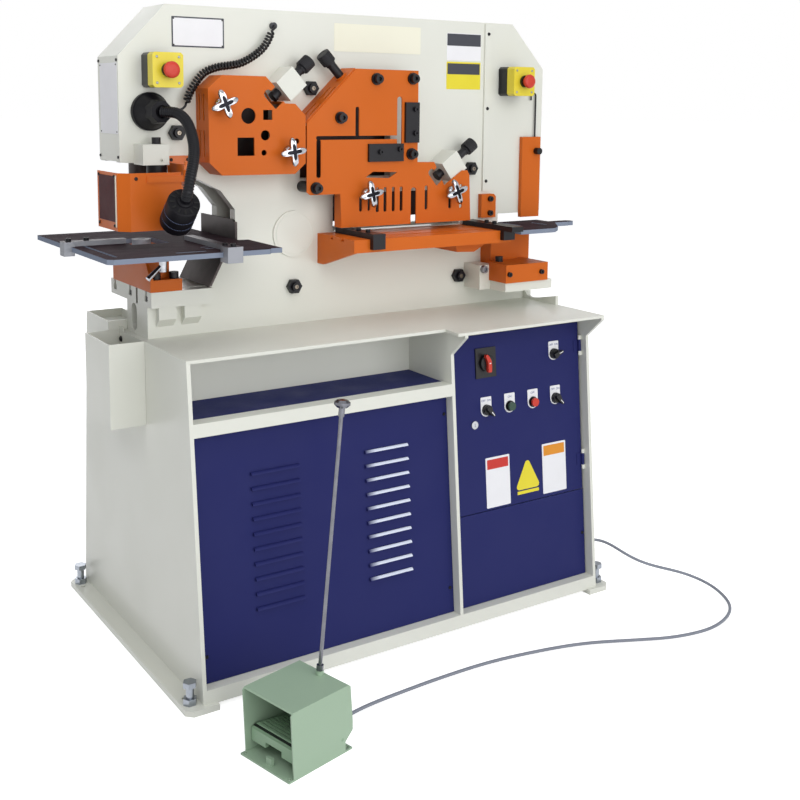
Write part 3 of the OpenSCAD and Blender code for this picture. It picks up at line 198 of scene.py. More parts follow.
def placed(way: Way, *at: float) -> Matrix:
    """A frame whose x runs to the reader's right, y up and z out of the surface.

    Args:
        way: The side that the surface faces.
        at: The origin in millimetres; on the leaning door only its x and z.

    Returns:
        The frame.
    """
    lean, turn = 0.0, 0.0
    if way is Way.DOOR:
        lean, at = LEAN, (at[0], DOOR_Y + math.tan(LEAN) * at[1], at[1])
    elif way is Way.LEFT:
        turn = math.radians(-90)
    return (Matrix.Translation(spot(*at)) @ Matrix.Rotation(turn, 4, "Z")
            @ Matrix.Rotation(math.radians(90) - lean, 4, "X"))


def beside(place: Matrix, x: float, y: float, z: float = 0.0) -> Matrix:
    """A frame shifted along its own axes by millimetres."""
    return place @ Matrix.Translation(spot(x, y, z))


def link(name: str, data: bpy.types.ID) -> Piece:
    """Puts a mesh, a curve, a light or a camera into the scene, at the origin."""
    piece = bpy.data.objects.new(name, data)
    bpy.context.scene.collection.objects.link(piece)
    return piece


def poured(name: str, work: bmesh.types.BMesh) -> Piece:
    """Turns worked faces into a piece at the origin."""
    mesh = bpy.data.meshes.new(name)
    work.to_mesh(mesh)
    work.free()
    return link(name, mesh)


def as_mesh(source: Piece, name: str) -> Piece:
    """Turns an object with its modifiers into one plain mesh piece and drops the source."""
    bpy.context.view_layer.update()
    evaluated = source.evaluated_get(bpy.context.evaluated_depsgraph_get())
    mesh = bpy.data.meshes.new_from_object(evaluated)
    mesh.transform(source.matrix_world)
    bpy.data.objects.remove(source)
    piece = link(name, mesh)
    mesh.name = name
    return piece


def join(name: str, pieces: list[Piece]) -> Piece:
    """Joins pieces into one, keeping each part's material.

    Args:
        name: Name of the joined piece.
        pieces: Mesh objects at the origin.

    Returns:
        The joined piece.
    """
    whole = bmesh.new()
    finishes: list[bpy.types.Material] = []
    for piece in pieces:
        own = list(piece.data.materials)
        finishes += [m for m in dict.fromkeys(own) if m not in finishes]
        table = [finishes.index(m) for m in own] or [0]
        first = len(whole.faces)
        whole.from_mesh(piece.data)
        whole.faces.ensure_lookup_table()
        for face in whole.faces[first:]:
            face.material_index = table[min(face.material_index, len(table) - 1)]
        bpy.data.objects.remove(piece)
    joined = poured(name, whole)
    for material in finishes:
        joined.data.materials.append(material)
    return joined


def skinned(name: str, rings: list[list[Vector]], crease: float, place: Matrix) -> Piece:
    """Spans faces between rings of points and closes both ends.

    Args:
        name: Name of the piece.
        rings: Rings of the same count from end to end; a ring may also be a single point.
        crease: Angle in degrees above which an edge stays sharp.
        place: Where the piece stands.

    Returns:
        The piece.
    """
    work = bmesh.new()
    made = [[work.verts.new(at) for at in loop] for loop in rings]
    for low, high in zip(made, made[1:]):
        for i in range(max(len(low), len(high))):
            corners = dict.fromkeys((low[i % len(low)], low[(i + 1) % len(low)],
                                     high[(i + 1) % len(high)], high[i % len(high)]))
            if len(corners) > 2:
                work.faces.new(list(corners))
    for loop in (made[0], made[-1]):
        if len(loop) > 1:
            work.faces.new(loop)
    bmesh.ops.recalc_face_normals(work, faces=work.faces)
    work.transform(place)
    piece = poured(name, work)
    piece.data.shade_smooth()
    piece.data.set_sharp_from_angle(angle=math.radians(crease))
    return piece


def ring(radius: float, at: Flat = (0, 0), steps: int = 32) -> list[Flat]:
    """Outline of a circle, in millimetres."""
    return [
        (at[0] + radius * math.cos(2 * math.pi * i / steps),
         at[1] + radius * math.sin(2 * math.pi * i / steps))
        for i in range(steps)
    ]


def turned(name: str, profile: Sequence[Flat], place: Matrix, sides: int = 48) -> Piece:
    """Makes a closed turned part from its half section.

    Args:
        name: Name of the piece.
        profile: Radius and height pairs in millimetres, from one end of the axis to the other.
        place: Where the part's axis stands.
        sides: Facets round the axis.

    Returns:
        The piece.
    """
    rings = [[spot(*at, height) for at in ring(radius, steps=sides if radius else 1)]
             for radius, height in profile]
    return skinned(name, rings, CREASE, place)


def rounded(width: float, height: float, radius: float, steps: int = 5) -> list[Flat]:
    """Outline of a rectangle with round corners about the origin, in millimetres."""
    return [(cx * (width / 2 - radius) + radius * math.cos(turn),
             cy * (height / 2 - radius) + radius * math.sin(turn))
            for corner, (cx, cy) in enumerate(((1, 1), (-1, 1), (-1, -1), (1, -1)))
            for turn in (math.radians(90 * corner + 90 * k / steps) for k in range(steps + 1))]


def strung(name: str, lines: list[list[Vector]], closed: bool = False) -> Piece:
    """Links a curve of straight runs through points in metres."""
    curve = bpy.data.curves.new(name, "CURVE")
    curve.dimensions = "3D"
    for line in lines:
        spline = curve.splines.new("POLY")
        spline.points.add(len(line) - 1)
        for point, at in zip(spline.points, line):
            point.co = (*at, 1)
        spline.use_cyclic_u = closed
    return link(name, curve)


def cut_plate(
    name: str, outlines: list[Sequence[Flat]], thickness: float, place: Matrix, edge: float = 0.0
) -> Piece:
    """Cuts a flat plate with its holes out of sheet.

    Args:
        name: Name of the piece.
        outlines: The outer edge and then any holes, in millimetres.
        thickness: Thickness of the sheet in millimetres; its back lies on the surface.
        place: Frame of the surface, from placed().
        edge: Width of the broken edge in millimetres.

    Returns:
        The piece.
    """
    source = strung(name, [[spot(*at, 0) for at in line] for line in outlines], closed=True)
    curve = source.data
    curve.dimensions = "2D"
    curve.fill_mode = "BOTH"
    curve.extrude = (thickness / 2 - edge) * MM
    curve.bevel_depth = edge * MM
    curve.offset = -edge * MM
    piece = as_mesh(source, name)
    piece.data.transform(beside(place, 0, 0, thickness / 2))
    return piece


def lettering(name: str, words: str, size: float, place: Matrix) -> Piece:
    """Raised print of a switch position, such as ON.

    Args:
        name: Name of the piece.
        words: What it says.
        size: Height of the letters in millimetres.
        place: Frame of the surface, from placed().

    Returns:
        The piece.
    """
    font = bpy.data.curves.new(name, "FONT")
    font.body = words
    font.size = size * MM
    font.align_x = "CENTER"
    font.align_y = "CENTER"
    font.extrude = 0.12 * MM
    font.resolution_u = 3
    piece = as_mesh(link(name, font), name)
    piece.data.transform(place)
    return piece


# ---- Lines ----


def run_length(points: list[Vector]) -> float:
    """Length of the line through the points."""
    return sum((b - a).length for a, b in zip(points, points[1:]))


def curve_points(points: tuple[Point, ...], steps: int) -> list[Vector]:
    """Points along the smooth curve through the given ones.

    Args:
        points: The points to pass through, in millimetres.
        steps: Points made for each span.

    Returns:
        The points in metres.
    """
    p = [Vector(q) * MM for q in points]
    made = []
    for i in range(len(p) - 1):
        a, b, c, d = p[max(i - 1, 0)], p[i], p[i + 1], p[min(i + 2, len(p) - 1)]
        for k in range(steps):
            f = k / steps
            made.append(0.5 * (2 * b + (c - a) * f + (2 * a - 5 * b + 4 * c - d) * f * f
                               + (3 * b - a - 3 * c + d) * f * f * f))
    return [*made, p[-1]]


def stations(points: list[Vector], count: int) -> list[tuple[Vector, Vector]]:
    """Walks along a line in even steps.

    Args:
        points: The line.
        count: Number of steps.

    Returns:
        The place at each step's end, and the way along the line there.
    """
    marks = [0.0]
    for a, b in zip(points, points[1:]):
        marks.append(marks[-1] + (b - a).length)
    made, k = [], 0
    for i in range(count + 1):
        want = marks[-1] * i / count
        while k < len(marks) - 2 and marks[k + 1] < want:
            k += 1
        share = (want - marks[k]) / (marks[k + 1] - marks[k] or 1.0)
        made.append((points[k].lerp(points[k + 1], share),
                     (points[k + 1] - points[k]).normalized()))
    return made


def evened(points: list[Vector], step: float, rounds: int) -> list[Vector]:
    """Spaces points evenly along a line and takes the kinks out of it.

    Args:
        points: The line in metres; its ends stay.
        step: Distance from point to point in metres.
        rounds: How often each point moves halfway towards its neighbours' middle.

    Returns:
        The new points.
    """
    count = max(8, round(run_length(points) / step))
    for _ in range(2):
        points = [at for at, _ in stations(points, count)]
        for _ in range(rounds):
            points = [points[0], points[1], *(
                b / 2 + (a + c) / 4 for a, b, c in zip(points[1:], points[2:-2], points[3:])
            ), *points[-2:]]
    return points


# ---- Finishes ----


@dataclass(frozen=True)
class Finish:
    """A surface finish: its name, sRGB colour and how it takes the light."""

    name: str
    colour: str
    roughness: float
    metallic: float = 0.0
    coat: float = 0.0
    drift: str | None = None
    drift_size: float = 0.4
    grain: float = 0.003
    grain_depth: float = 0.08
    gloss: float = 0.5

    def material(self) -> bpy.types.Material:
        """Returns the material, made once."""
        known = bpy.data.materials.get(self.name)
        if known:
            return known
        material = bpy.data.materials.new(self.name)
        tree = emptied(material)
        place = add(tree, "ShaderNodeTexCoord").outputs["Object"]
        shader = add(tree, "ShaderNodeBsdfPrincipled", links={
            "Base Color": self.tone(tree, place),
            "Roughness": self.polish(tree, place),
            "Metallic": self.metallic,
            "Coat Weight": self.coat,
            "Coat Roughness": 0.08,
            "Specular IOR Level": self.gloss,
            "Normal": self.relief(tree, place),
        })
        add(tree, "ShaderNodeOutputMaterial", links={"Surface": shader.outputs[0]})
        material.diffuse_color = linear(self.colour)
        return material

    def tone(self, tree: Tree, place: Socket) -> Socket:
        """Colour with a slow drift towards a second tone."""
        return blended(tree, noise(tree, place, 1 / self.drift_size, 3.0), linear(self.colour),
                       linear(self.drift or self.colour))

    def polish(self, tree: Tree, place: Socket) -> Socket:
        """Roughness that varies a little, as handling and wiping leave it."""
        return self.spread(tree, noise(tree, place, 9.0, 4.0), 0.85, 1.2)

    def spread(self, tree: Tree, pattern: Socket, low: float, high: float) -> Socket:
        """Roughness between two shares of its middle, by a pattern."""
        return ramp(tree, pattern, (0.3, 0.7),
                    (self.roughness * low, min(1.0, self.roughness * high)))

    def relief(self, tree: Tree, place: Socket) -> Socket:
        """Fine grain of the surface, such as the orange peel of sprayed enamel."""
        return bumped(tree, noise(tree, place, 1 / self.grain, 2.0), self.grain_depth, 0.6 * MM)


@dataclass(frozen=True)
class Zoned(Finish):
    """A finish with a second colour inside boxes, given by their corners in millimetres."""

    other: str = "#000000"
    zones: tuple[tuple[Point, Point], ...] = ()

    def tone(self, tree: Tree, place: Socket) -> Socket:
        """Colour that changes inside the boxes."""
        colour = Finish.tone(self, tree, place)
        for low, high in self.zones:
            centre, half = (spot(*low) + spot(*high)) / 2, (spot(*high) - spot(*low)) / 2
            apart = vectors(tree, "ABSOLUTE", vectors(tree, "SUBTRACT", place, centre))
            parts = add(tree, "ShaderNodeSeparateXYZ",
                        links={0: vectors(tree, "DIVIDE", apart, half)}).outputs
            most = maths(tree, "MAXIMUM", maths(tree, "MAXIMUM", parts[0], parts[1]), parts[2])
            within = maths(tree, "LESS_THAN", most, 1.0)
            colour = blended(tree, within, colour, linear(self.other))
        return colour


@dataclass(frozen=True)
class Ground(Finish):
    """Metal with parallel lines from grinding or brushing along one axis."""

    lines: Point = (8.0, 900.0, 900.0)
    line_depth: float = 0.12
    # Painted highlight: the colour of every upright and steep face
    edge: str = "#858E9F"

    def tone(self, tree: Tree, place: Socket) -> Socket:
        """Colour of the flats, and the brighter one of the painted highlight on upright and steep
        faces.
        """
        upright = maths(tree, "LESS_THAN", maths(tree, "ABSOLUTE", rise(tree)), 0.7)
        return blended(tree, upright, Finish.tone(self, tree, place), linear(self.edge))

    def strokes(self, tree: Tree, place: Socket) -> Socket:
        """Pattern drawn out along the grinding lines."""
        return noise(tree, vectors(tree, "MULTIPLY", place, self.lines), 1.0, 3.0)

    def polish(self, tree: Tree, place: Socket) -> Socket:
        """Roughness broken up along the grinding lines."""
        return self.spread(tree, self.strokes(tree, place), 0.7, 1.35)

    def relief(self, tree: Tree, place: Socket) -> Socket:
        """Shallow grooves along the grinding lines."""
        return bumped(tree, self.strokes(tree, place), self.line_depth, 0.3 * MM)


@dataclass(frozen=True)
class Grooved(Finish):
    """Enamel on a ribbed casting whose channels get a painted shade."""

    first: float = 50.0
    pitch: float = 12.0
    channel: float = 0.49
    channel_shade: str = "#161D18"

    def tone(self, tree: Tree, place: Socket) -> Socket:
        """Colour of the ribs, and the painted shade of the channels on the faces that look up."""
        along = (math.cos(PEDAL_TURN), math.sin(PEDAL_TURN), 0.0)
        zero = (PEDAL_AT[0] * along[0] + PEDAL_AT[1] * along[1] + self.first) * MM
        steps = maths(tree, "SUBTRACT", vectors(tree, "DOT_PRODUCT", place, along), zero)
        share = maths(tree, "DIVIDE", steps, self.pitch * MM)
        # Painted shade: the channels on faces that look up take a near-black colour
        low = maths(tree, "LESS_THAN", maths(tree, "FLOORED_MODULO", share, 1.0), self.channel)
        both = maths(tree, "MULTIPLY", low, maths(tree, "GREATER_THAN", rise(tree), 0.6))
        return blended(tree, both, Finish.tone(self, tree, place), linear(self.channel_shade))


@dataclass(frozen=True)
class Pressed(Finish):
    """Enamelled sheet whose pressed louvres carry a painted highlight along their crests.

    The painted highlight starts at the first and is full from the second of two places along x.
    """

    crest_highlight: str = "#FFFFFF"
    highlit_span: Flat = (-0.138, -0.108)

    def tone(self, tree: Tree, place: Socket) -> Socket:
        """Colour of the sheet, and the paler one of the painted highlight on the crests."""
        # Painted highlight: sloping faces past a place along x take the paler colour
        steep = maths(tree, "COMPARE", rise(tree), 0.7, 0.27)
        highlit = ramp(tree, part(tree, place, "X"), self.highlit_span, (0.0, 1.0))
        return blended(tree, maths(tree, "MULTIPLY", steep, highlit),
                       Finish.tone(self, tree, place), linear(self.crest_highlight))


@dataclass(frozen=True)
class Ribbed(Finish):
    """Rubber sheet with moulded ribs that run along x."""

    pitch: float = 0.006

    def relief(self, tree: Tree, place: Socket) -> Socket:
        """Ribs of the sheet as rows of a wave."""
        ribs = add(tree, "ShaderNodeTexWave", {"bands_direction": "Y", "wave_profile": "SIN"},
                   {"Vector": place, "Scale": 0.314 / self.pitch, "Distortion": 0.0})
        return bumped(tree, ribs.outputs["Fac"], 0.35, 1 * MM)


# Gloss alkyd enamel, sprayed on welded plate: an even colour under a soft sheen with peel
CREAM_COAT = {"colour": "#E2E3DA", "roughness": 0.36, "coat": 0.15, "drift": "#DADBD1",
              "grain_depth": 0.05, "gloss": 0.35}
CREAM = Finish("cream_enamel", **CREAM_COAT)
ORANGE_CODE = "#D0671C"
COVERS = Zoned("cream_cover_enamel", **CREAM_COAT, other=ORANGE_CODE,
               zones=(((-562, -212, 1190), (-484, -72.4, 1290)),))
ORANGE = Finish("orange_enamel", ORANGE_CODE, 0.42, coat=0.03, drift="#C76019", grain_depth=0.05,
                gloss=0.18)
# Plain enamel on folded sheet: a deep even blue with a dull sheen
NAVY_COAT = {"colour": "#212459", "roughness": 0.5, "drift": "#262B61", "drift_size": 0.6,
             "grain_depth": 0.06, "gloss": 0.12}
NAVY = Finish("navy_enamel", **NAVY_COAT)
# The same enamel with a painted highlight on the crests of one row of louvres: pale lines on the
# blue
LOUVRED = Pressed("navy_louvre_enamel", **NAVY_COAT, crest_highlight="#DCE3F2")
# Flame-hardened table steel, ground once and worn since: brown-grey flats, with a painted highlight
# in a brighter colour on every upright face
STEEL = Ground("table_steel", "#483C41", 0.5, 0.0, drift="#2A2126", drift_size=0.05,
               gloss=0.002, edge="#858E9F")
# The ground blocks, with the same painted highlight on their upright faces
STEEL_SIDE = Ground("ground_steel_blocks", "#5C575C", 0.4, 0.35, drift="#433D42",
                    lines=(900.0, 8.0, 900.0), gloss=0.01, edge="#94969C")
# Machined steel inside the machine, filmed with oil: dark and bare of paint
DARK_STEEL = Finish("machined_steel", "#504A49", 0.42, 1.0, drift="#3A3535", drift_size=0.03)
# Grey enamels of the tank and of the cast motor: dull, the casting's skin showing
TANK = Finish("tank_enamel", "#8A8F96", 0.45, drift="#7F848B")
MOTOR = Finish("cast_motor_enamel", "#5B626E", 0.5, drift="#525963", grain_depth=0.25)
# Bright nickel-chrome plate on forgings: mirror-like with a faint waviness
CHROME = Finish("bright_chrome", "#CBCDD2", 0.09, 1.0, drift="#96989E", drift_size=0.012,
                grain=0.009, grain_depth=0.22)
# The same plate dulled by hands and dust: greyer, with a softer reflection
ROD = Finish("dulled_chrome", "#85868C", 0.2, 1.0, drift="#66676E", drift_size=0.02)
# The same plate on the flat top of the star knobs, near-black as a painted reflection of dark
# surroundings
DARK_REFLECTION = Finish("chrome_dark_reflection", "#1B1B1F", 0.22, 1.0, drift="#26262B", drift_size=0.01)
# Clear-passivated zinc: bluish grey, slightly mottled
ZINC = Finish("zinc_plate", "#A9AEB6", 0.32, 1.0, drift="#8E949D", drift_size=0.01)
# Black-oxide steel: almost black, satin, with a blue cast at the edge of a highlight
OXIDE = Finish("blacked_steel", "#0D0C11", 0.38, drift="#15141A", drift_size=0.02,
               grain=0.001, grain_depth=0.12, gloss=0.3)
# Ribbed rubber in a dusty blue: no highlight, only the shade of its ribs
RUBBER_MAT = Ribbed("ribbed_rubber", "#262A5C", 0.65, drift="#343A72", drift_size=0.004, gloss=0.15)
# ABS with a spark-eroded texture
LAMP = Finish("lamp_plastic", "#0A090E", 0.45, drift="#100F15", drift_size=0.02, grain=0.0012,
              grain_depth=0.2, gloss=0.16)
# Soft vinyl of the neck: black with a bluish sheen on the crown of each ring
NECK = Finish("neck_vinyl", "#08090F", 0.3, drift="#0D0E15", drift_size=0.02, gloss=0.25)
# Vinyl of the cord, and grey nylon of conduit and glands: soft broad highlights
CORD = Finish("cord_sheath", "#0C0C0F", 0.38, drift="#131317", drift_size=0.01, grain=0.001,
              gloss=0.4)
CONDUIT = Finish("conduit_sheath", "#858A95", 0.45, drift="#777C88", drift_size=0.03, grain=0.001)
GLAND = Finish("gland_nylon", "#24262E", 0.45, drift="#2E3038", drift_size=0.02)
# Glossy moulded boxes on black backs
YELLOW = Zoned("box_plastic", "#E6D53E", 0.34, coat=0.1, drift="#DECB34", drift_size=0.05,
               gloss=0.35, other="#131317",
               zones=(((-625, -113, 1440), (-520, -70, 1540)),
                      ((480, -113, 1430), (590, -70, 1540))))
# Grey-green enamel on the pedal's guard: a satin sheen on a slightly rough skin
PEDAL = Finish("pedal_enamel", "#A4BCA3", 0.42, coat=0.1, drift="#9AB29A", drift_size=0.2,
               grain=0.002, grain_depth=0.16, gloss=0.35)
# The same enamel on the cast treadle, with painted shade in the channels between its ribs
TREAD = Grooved("treadle_enamel", "#93B093", 0.45, drift="#86A486", drift_size=0.05,
                grain=0.002, grain_depth=0.2)
# Moulded ABS of switches: near-black, smooth
SWITCH = Finish("switch_plastic", "#0C0C0E", 0.3, drift="#111114", drift_size=0.02, gloss=0.4)
# Acetal of buttons and bars: clear colours under a soft shine
RED = Finish("red_acetal", "#CB3A26", 0.36, coat=0.1, drift="#C23122", drift_size=0.02,
             gloss=0.35)
GREEN = Finish("green_acetal", "#173F2C", 0.34, coat=0.1, drift="#143829", drift_size=0.02)
# Printed sheet of the plates: flat colours with hardly any shine
WHITE_PLATE = Finish("white_plate", "#EFEFF2", 0.45, drift="#E7E7EA", drift_size=0.05, gloss=0.3)
PLATE_FRAME = Finish("plate_frame", "#33353F", 0.45, drift="#2C2E38", drift_size=0.05)
IVORY_FIELD = Finish("ivory_field", "#F0EEDB", 0.4, drift="#EAE8D4", drift_size=0.1, gloss=0.3)
YELLOW_FIELD = Finish("yellow_field", "#E8D93A", 0.42, drift="#E0D134", drift_size=0.05, gloss=0.3)
RED_FIELD = Finish("red_field", "#C8372F", 0.42, drift="#C0332B", drift_size=0.05, gloss=0.3)
AMBER_FIELD = Finish("amber_field", "#E0932C", 0.42, drift="#D78B28", drift_size=0.05, gloss=0.3)
BLUE_PRINT = Finish("blue_print", "#2C3F86", 0.45, drift="#283A7C", drift_size=0.01)
# Bare worn steel at the ends of the adjusters
STUD = Finish("worn_stud_steel", "#9A9186", 0.3, 1.0, drift="#7A6F63", drift_size=0.004)
# Dark tinted pane that shows little more than its own colour
WINDOW = Finish("wine_window", "#330C11", 0.45, drift="#4C171C", drift_size=0.008,
                grain=0.004, grain_depth=0.5, gloss=0.05)
# Bright bowl behind the bulb
REFLECTOR = Finish("lamp_reflector", "#D7D8DA", 0.2, 1.0, drift="#CBCCCF")
# Painted shade for the vent openings, and a painted highlight on the beads of the lamp's shade
VENT = Finish("vent_shadow", "#050506", 0.8, drift="#070708")
BEAD_HIGHLIGHT = Finish("bead_highlight", "#56658A", 0.35, drift="#4C597A")
# Phosphated rivets, and the opal glass of the bulb
DARK_SCREW = Finish("phosphated_screw", "#4A4A45", 0.4, 0.6, drift="#3E3E3A", drift_size=0.01)
BULB = Finish("opal_bulb", "#F4F0E4", 0.25, coat=0.3, drift="#EFEADC")

NODE_FINISH: dict[str, Finish] = {
    node: finish
    for finish, nodes in (
        (CREAM, "base_cabinet slug_boxes machine_frame"),
        (COVERS, "frame_covers"),
        (LOUVRED, "cabinet_panels"),
        (NAVY, "control_door"),
        (ZINC, "levelling_bolts"),
        (RUBBER_MAT, "tool_shelf_mat"),
        (TANK, "hydraulic_tank"),
        (MOTOR, "pump_motor"),
        (OXIDE, "black_fasteners guide_blocks left_shear_guide right_shear_guide "
                "notcher_guard_rod section_hold_down angle_hold_down bar_hold_down"),
        (ORANGE, "die_bolster section_guard angle_guard shear_table notcher_block "
                 "notcher_guard punch_guard"),
        (STEEL, "punch_table notcher_table"),
        (STEEL_SIDE, "left_punch_gauge right_punch_gauge pivot_pin punch_die"),
        (DARK_STEEL, "hydraulic_cylinders rocker_beam throat_fence punch_ram beam_ram"),
        (LAMP, "lamp_arm lamp_head"),
        (CORD, "curly_cord"),
        (CONDUIT, "foot_conduit"),
        (GLAND, "cable_glands"),
        (YELLOW, "stop_boxes"),
        (PEDAL, "pedal_guard"),
        (TREAD, "pedal_treadle"),
        (ROD, "pedal_rod"),
        (CHROME, "door_lock table_clamp_lever upper_section_knob lower_section_knob "
                 "left_shear_knob right_shear_knob"),
        (SWITCH, "switch_bodies left_selector right_selector upper_selector"),
        (RED, "main_switch_lever stop_button left_stop_mushroom right_stop_mushroom"),
        (GREEN, "start_button"),
    )
    for node in nodes.split()
}


def dress(piece: Piece, finish: Finish) -> Piece:
    """Gives every slot of a piece one finish."""
    if not piece.data.materials:
        piece.data.materials.append(finish.material())
    for slot in piece.material_slots:
        slot.material = finish.material()
    return piece


# ---- Stage ----


@dataclass
class Studio:
    """The pale floor, the soft lights and the camera, in metres and radians."""

    camera_at: Point = (-1.6243, -2.7418, 1.4195)
    heading: float = 0.5872
    dip: float = 0.1349
    roll: float = 0.0105
    lens: float = 50.93
    shift: float = -0.18
    floor_size: float = 160.0
    boxes: tuple[tuple[str, Point, Point, float, float], ...] = (
        ("key_box", (0.0, -6.2, 1.9), (0.0, -0.1, 1.0), 7.0, 325.0),
        ("fill_box", (-2.3, -0.9, 2.9), (-0.7, 0.0, 1.4), 1.6, 15.0),
        ("top_box", (0.2, -0.8, 5.0), (0.0, 0.0, 0.8), 5.0, 62.0),
        ("back_box", (1.5, 4.5, 2.8), (0.0, 0.0, 0.9), 4.0, 70.0),
    )

    def build(self) -> None:
        """Builds the stage and reports it."""
        self.camera()
        self.floor()
        self.surroundings()
        self.lamps()
        log.info("studio ready")

    def camera(self) -> None:
        """Sets the camera at the viewing angle."""
        data = bpy.data.cameras.new("view_camera")
        data.lens = self.lens
        data.shift_y = self.shift
        data.clip_end = 100
        camera = link("view_camera", data)
        camera.matrix_world = (
            Matrix.Translation(self.camera_at) @ Matrix.Rotation(-self.heading, 4, "Z")
            @ Matrix.Rotation(math.radians(90) - self.dip, 4, "X")
            @ Matrix.Rotation(self.roll, 4, "Z"))
        bpy.context.scene.camera = camera

    def floor(self) -> None:
        """Lays a pale floor that reads as white to the eye and keeps the shadows."""
        half = self.floor_size / 2
        mesh = bpy.data.meshes.new("floor")
        mesh.from_pydata([(x * half, y * half, 0) for x, y in ((-1, -1), (1, -1), (1, 1), (-1, 1))],
                         [], [(0, 1, 2, 3)])
        floor = link("floor", mesh)
        material = bpy.data.materials.new("studio_floor")
        tree = emptied(material)
        paint = add(tree, "ShaderNodeBsdfDiffuse", links={"Color": linear("#DCDCDC")})
        glow = add(tree, "ShaderNodeEmission", links={
            "Color": linear("#FFFFFF"),
            "Strength": maths(tree, "MULTIPLY", self.looked_at(tree), 0.75),
        })
        both = add(tree, "ShaderNodeAddShader", links={0: paint.outputs[0], 1: glow.outputs[0]})
        add(tree, "ShaderNodeOutputMaterial", links={"Surface": both.outputs[0]})
        mesh.materials.append(material)

    def looked_at(self, tree: Tree) -> Socket:
        """One where the eye looks straight, through glass or by way of a mirror."""
        path = add(tree, "ShaderNodeLightPath").outputs
        straight = maths(tree, "MAXIMUM", path["Is Camera Ray"], path["Is Transmission Ray"])
        return maths(tree, "MAXIMUM", straight, path["Is Glossy Ray"])

    def surroundings(self) -> None:
        """Fills the room with even light, and white where the eye looks past the object."""
        world = bpy.data.worlds.new("studio_room")
        bpy.context.scene.world = world
        tree = emptied(world)
        height = part(tree, add(tree, "ShaderNodeTexCoord").outputs["Generated"], "Z")
        # Mirrors see the white wall low down and the dim ceiling above it
        level = maths(tree, "MAXIMUM", ramp(tree, height, (0.22, 0.6), (1.0, 0.3)),
                      add(tree, "ShaderNodeLightPath").outputs["Is Camera Ray"])
        room, white = (
            add(tree, "ShaderNodeBackground", links={"Color": linear(code), "Strength": strength})
            for code, strength in (("#F4F6FA", 0.4), ("#FFFFFF", level)))
        mix = add(tree, "ShaderNodeMixShader", links={
            0: self.looked_at(tree), 1: room.outputs[0], 2: white.outputs[0],
        })
        add(tree, "ShaderNodeOutputWorld", links={"Surface": mix.outputs[0]})
        bpy.context.scene.view_settings.view_transform = "Standard"

    def lamps(self) -> None:
        """Hangs the soft boxes: a key from the front, and fills from left, top and back."""
        for name, at, aim, size, power in self.boxes:
            data = bpy.data.lights.new(name, "AREA")
            data.shape = "SQUARE"
            data.size = size
            data.energy = power
            lamp = link(name, data)
            lamp.location = at
            lamp.rotation_euler = (Vector(aim) - Vector(at)).to_track_quat("-Z", "Y").to_euler()


# ---- Repeats ----


class Rig:
    """A geometry-node tree with named inputs that makes pieces out of sources."""

    name = ""
    inputs: dict[str, str] = {}

    def __init__(self) -> None:
        """Builds the tree once with its named inputs."""
        tree = self.tree = bpy.data.node_groups.new(self.name, "GeometryNodeTree")
        for name, kind in (("Geometry", "Geometry"), *self.inputs.items(), ("Finish", "Material")):
            tree.interface.new_socket(name, in_out="INPUT", socket_type=f"NodeSocket{kind}")
        tree.interface.new_socket("Geometry", in_out="OUTPUT", socket_type="NodeSocketGeometry")
        given = add(tree, "NodeGroupInput").outputs
        whole = add(tree, "GeometryNodeRealizeInstances", links={0: self.shape(tree, given)})
        done = add(tree, "GeometryNodeSetMaterial",
                   links={"Geometry": whole.outputs[0], "Material": given["Finish"]})
        add(tree, "NodeGroupOutput", links={0: done.outputs[0]})

    def shape(self, tree: Tree, given: bpy.types.NodeOutputs) -> Socket:
        """The geometry that the tree makes from what it is given."""
        raise NotImplementedError

    def run(self, source: Piece, name: str, values: dict) -> Piece:
        """Works the tree on a source and returns the piece as a plain mesh.

        Args:
            source: The object that the tree starts from; it is used up.
            name: Name of the piece.
            values: What the named inputs get.

        Returns:
            The piece.
        """
        modifier = source.modifiers.new(self.name, "NODES")
        modifier.node_group = self.tree
        for item in self.tree.interface.items_tree:
            if item.in_out == "INPUT" and item.name in values:
                modifier[item.identifier] = values[item.name]
        return as_mesh(source, name)


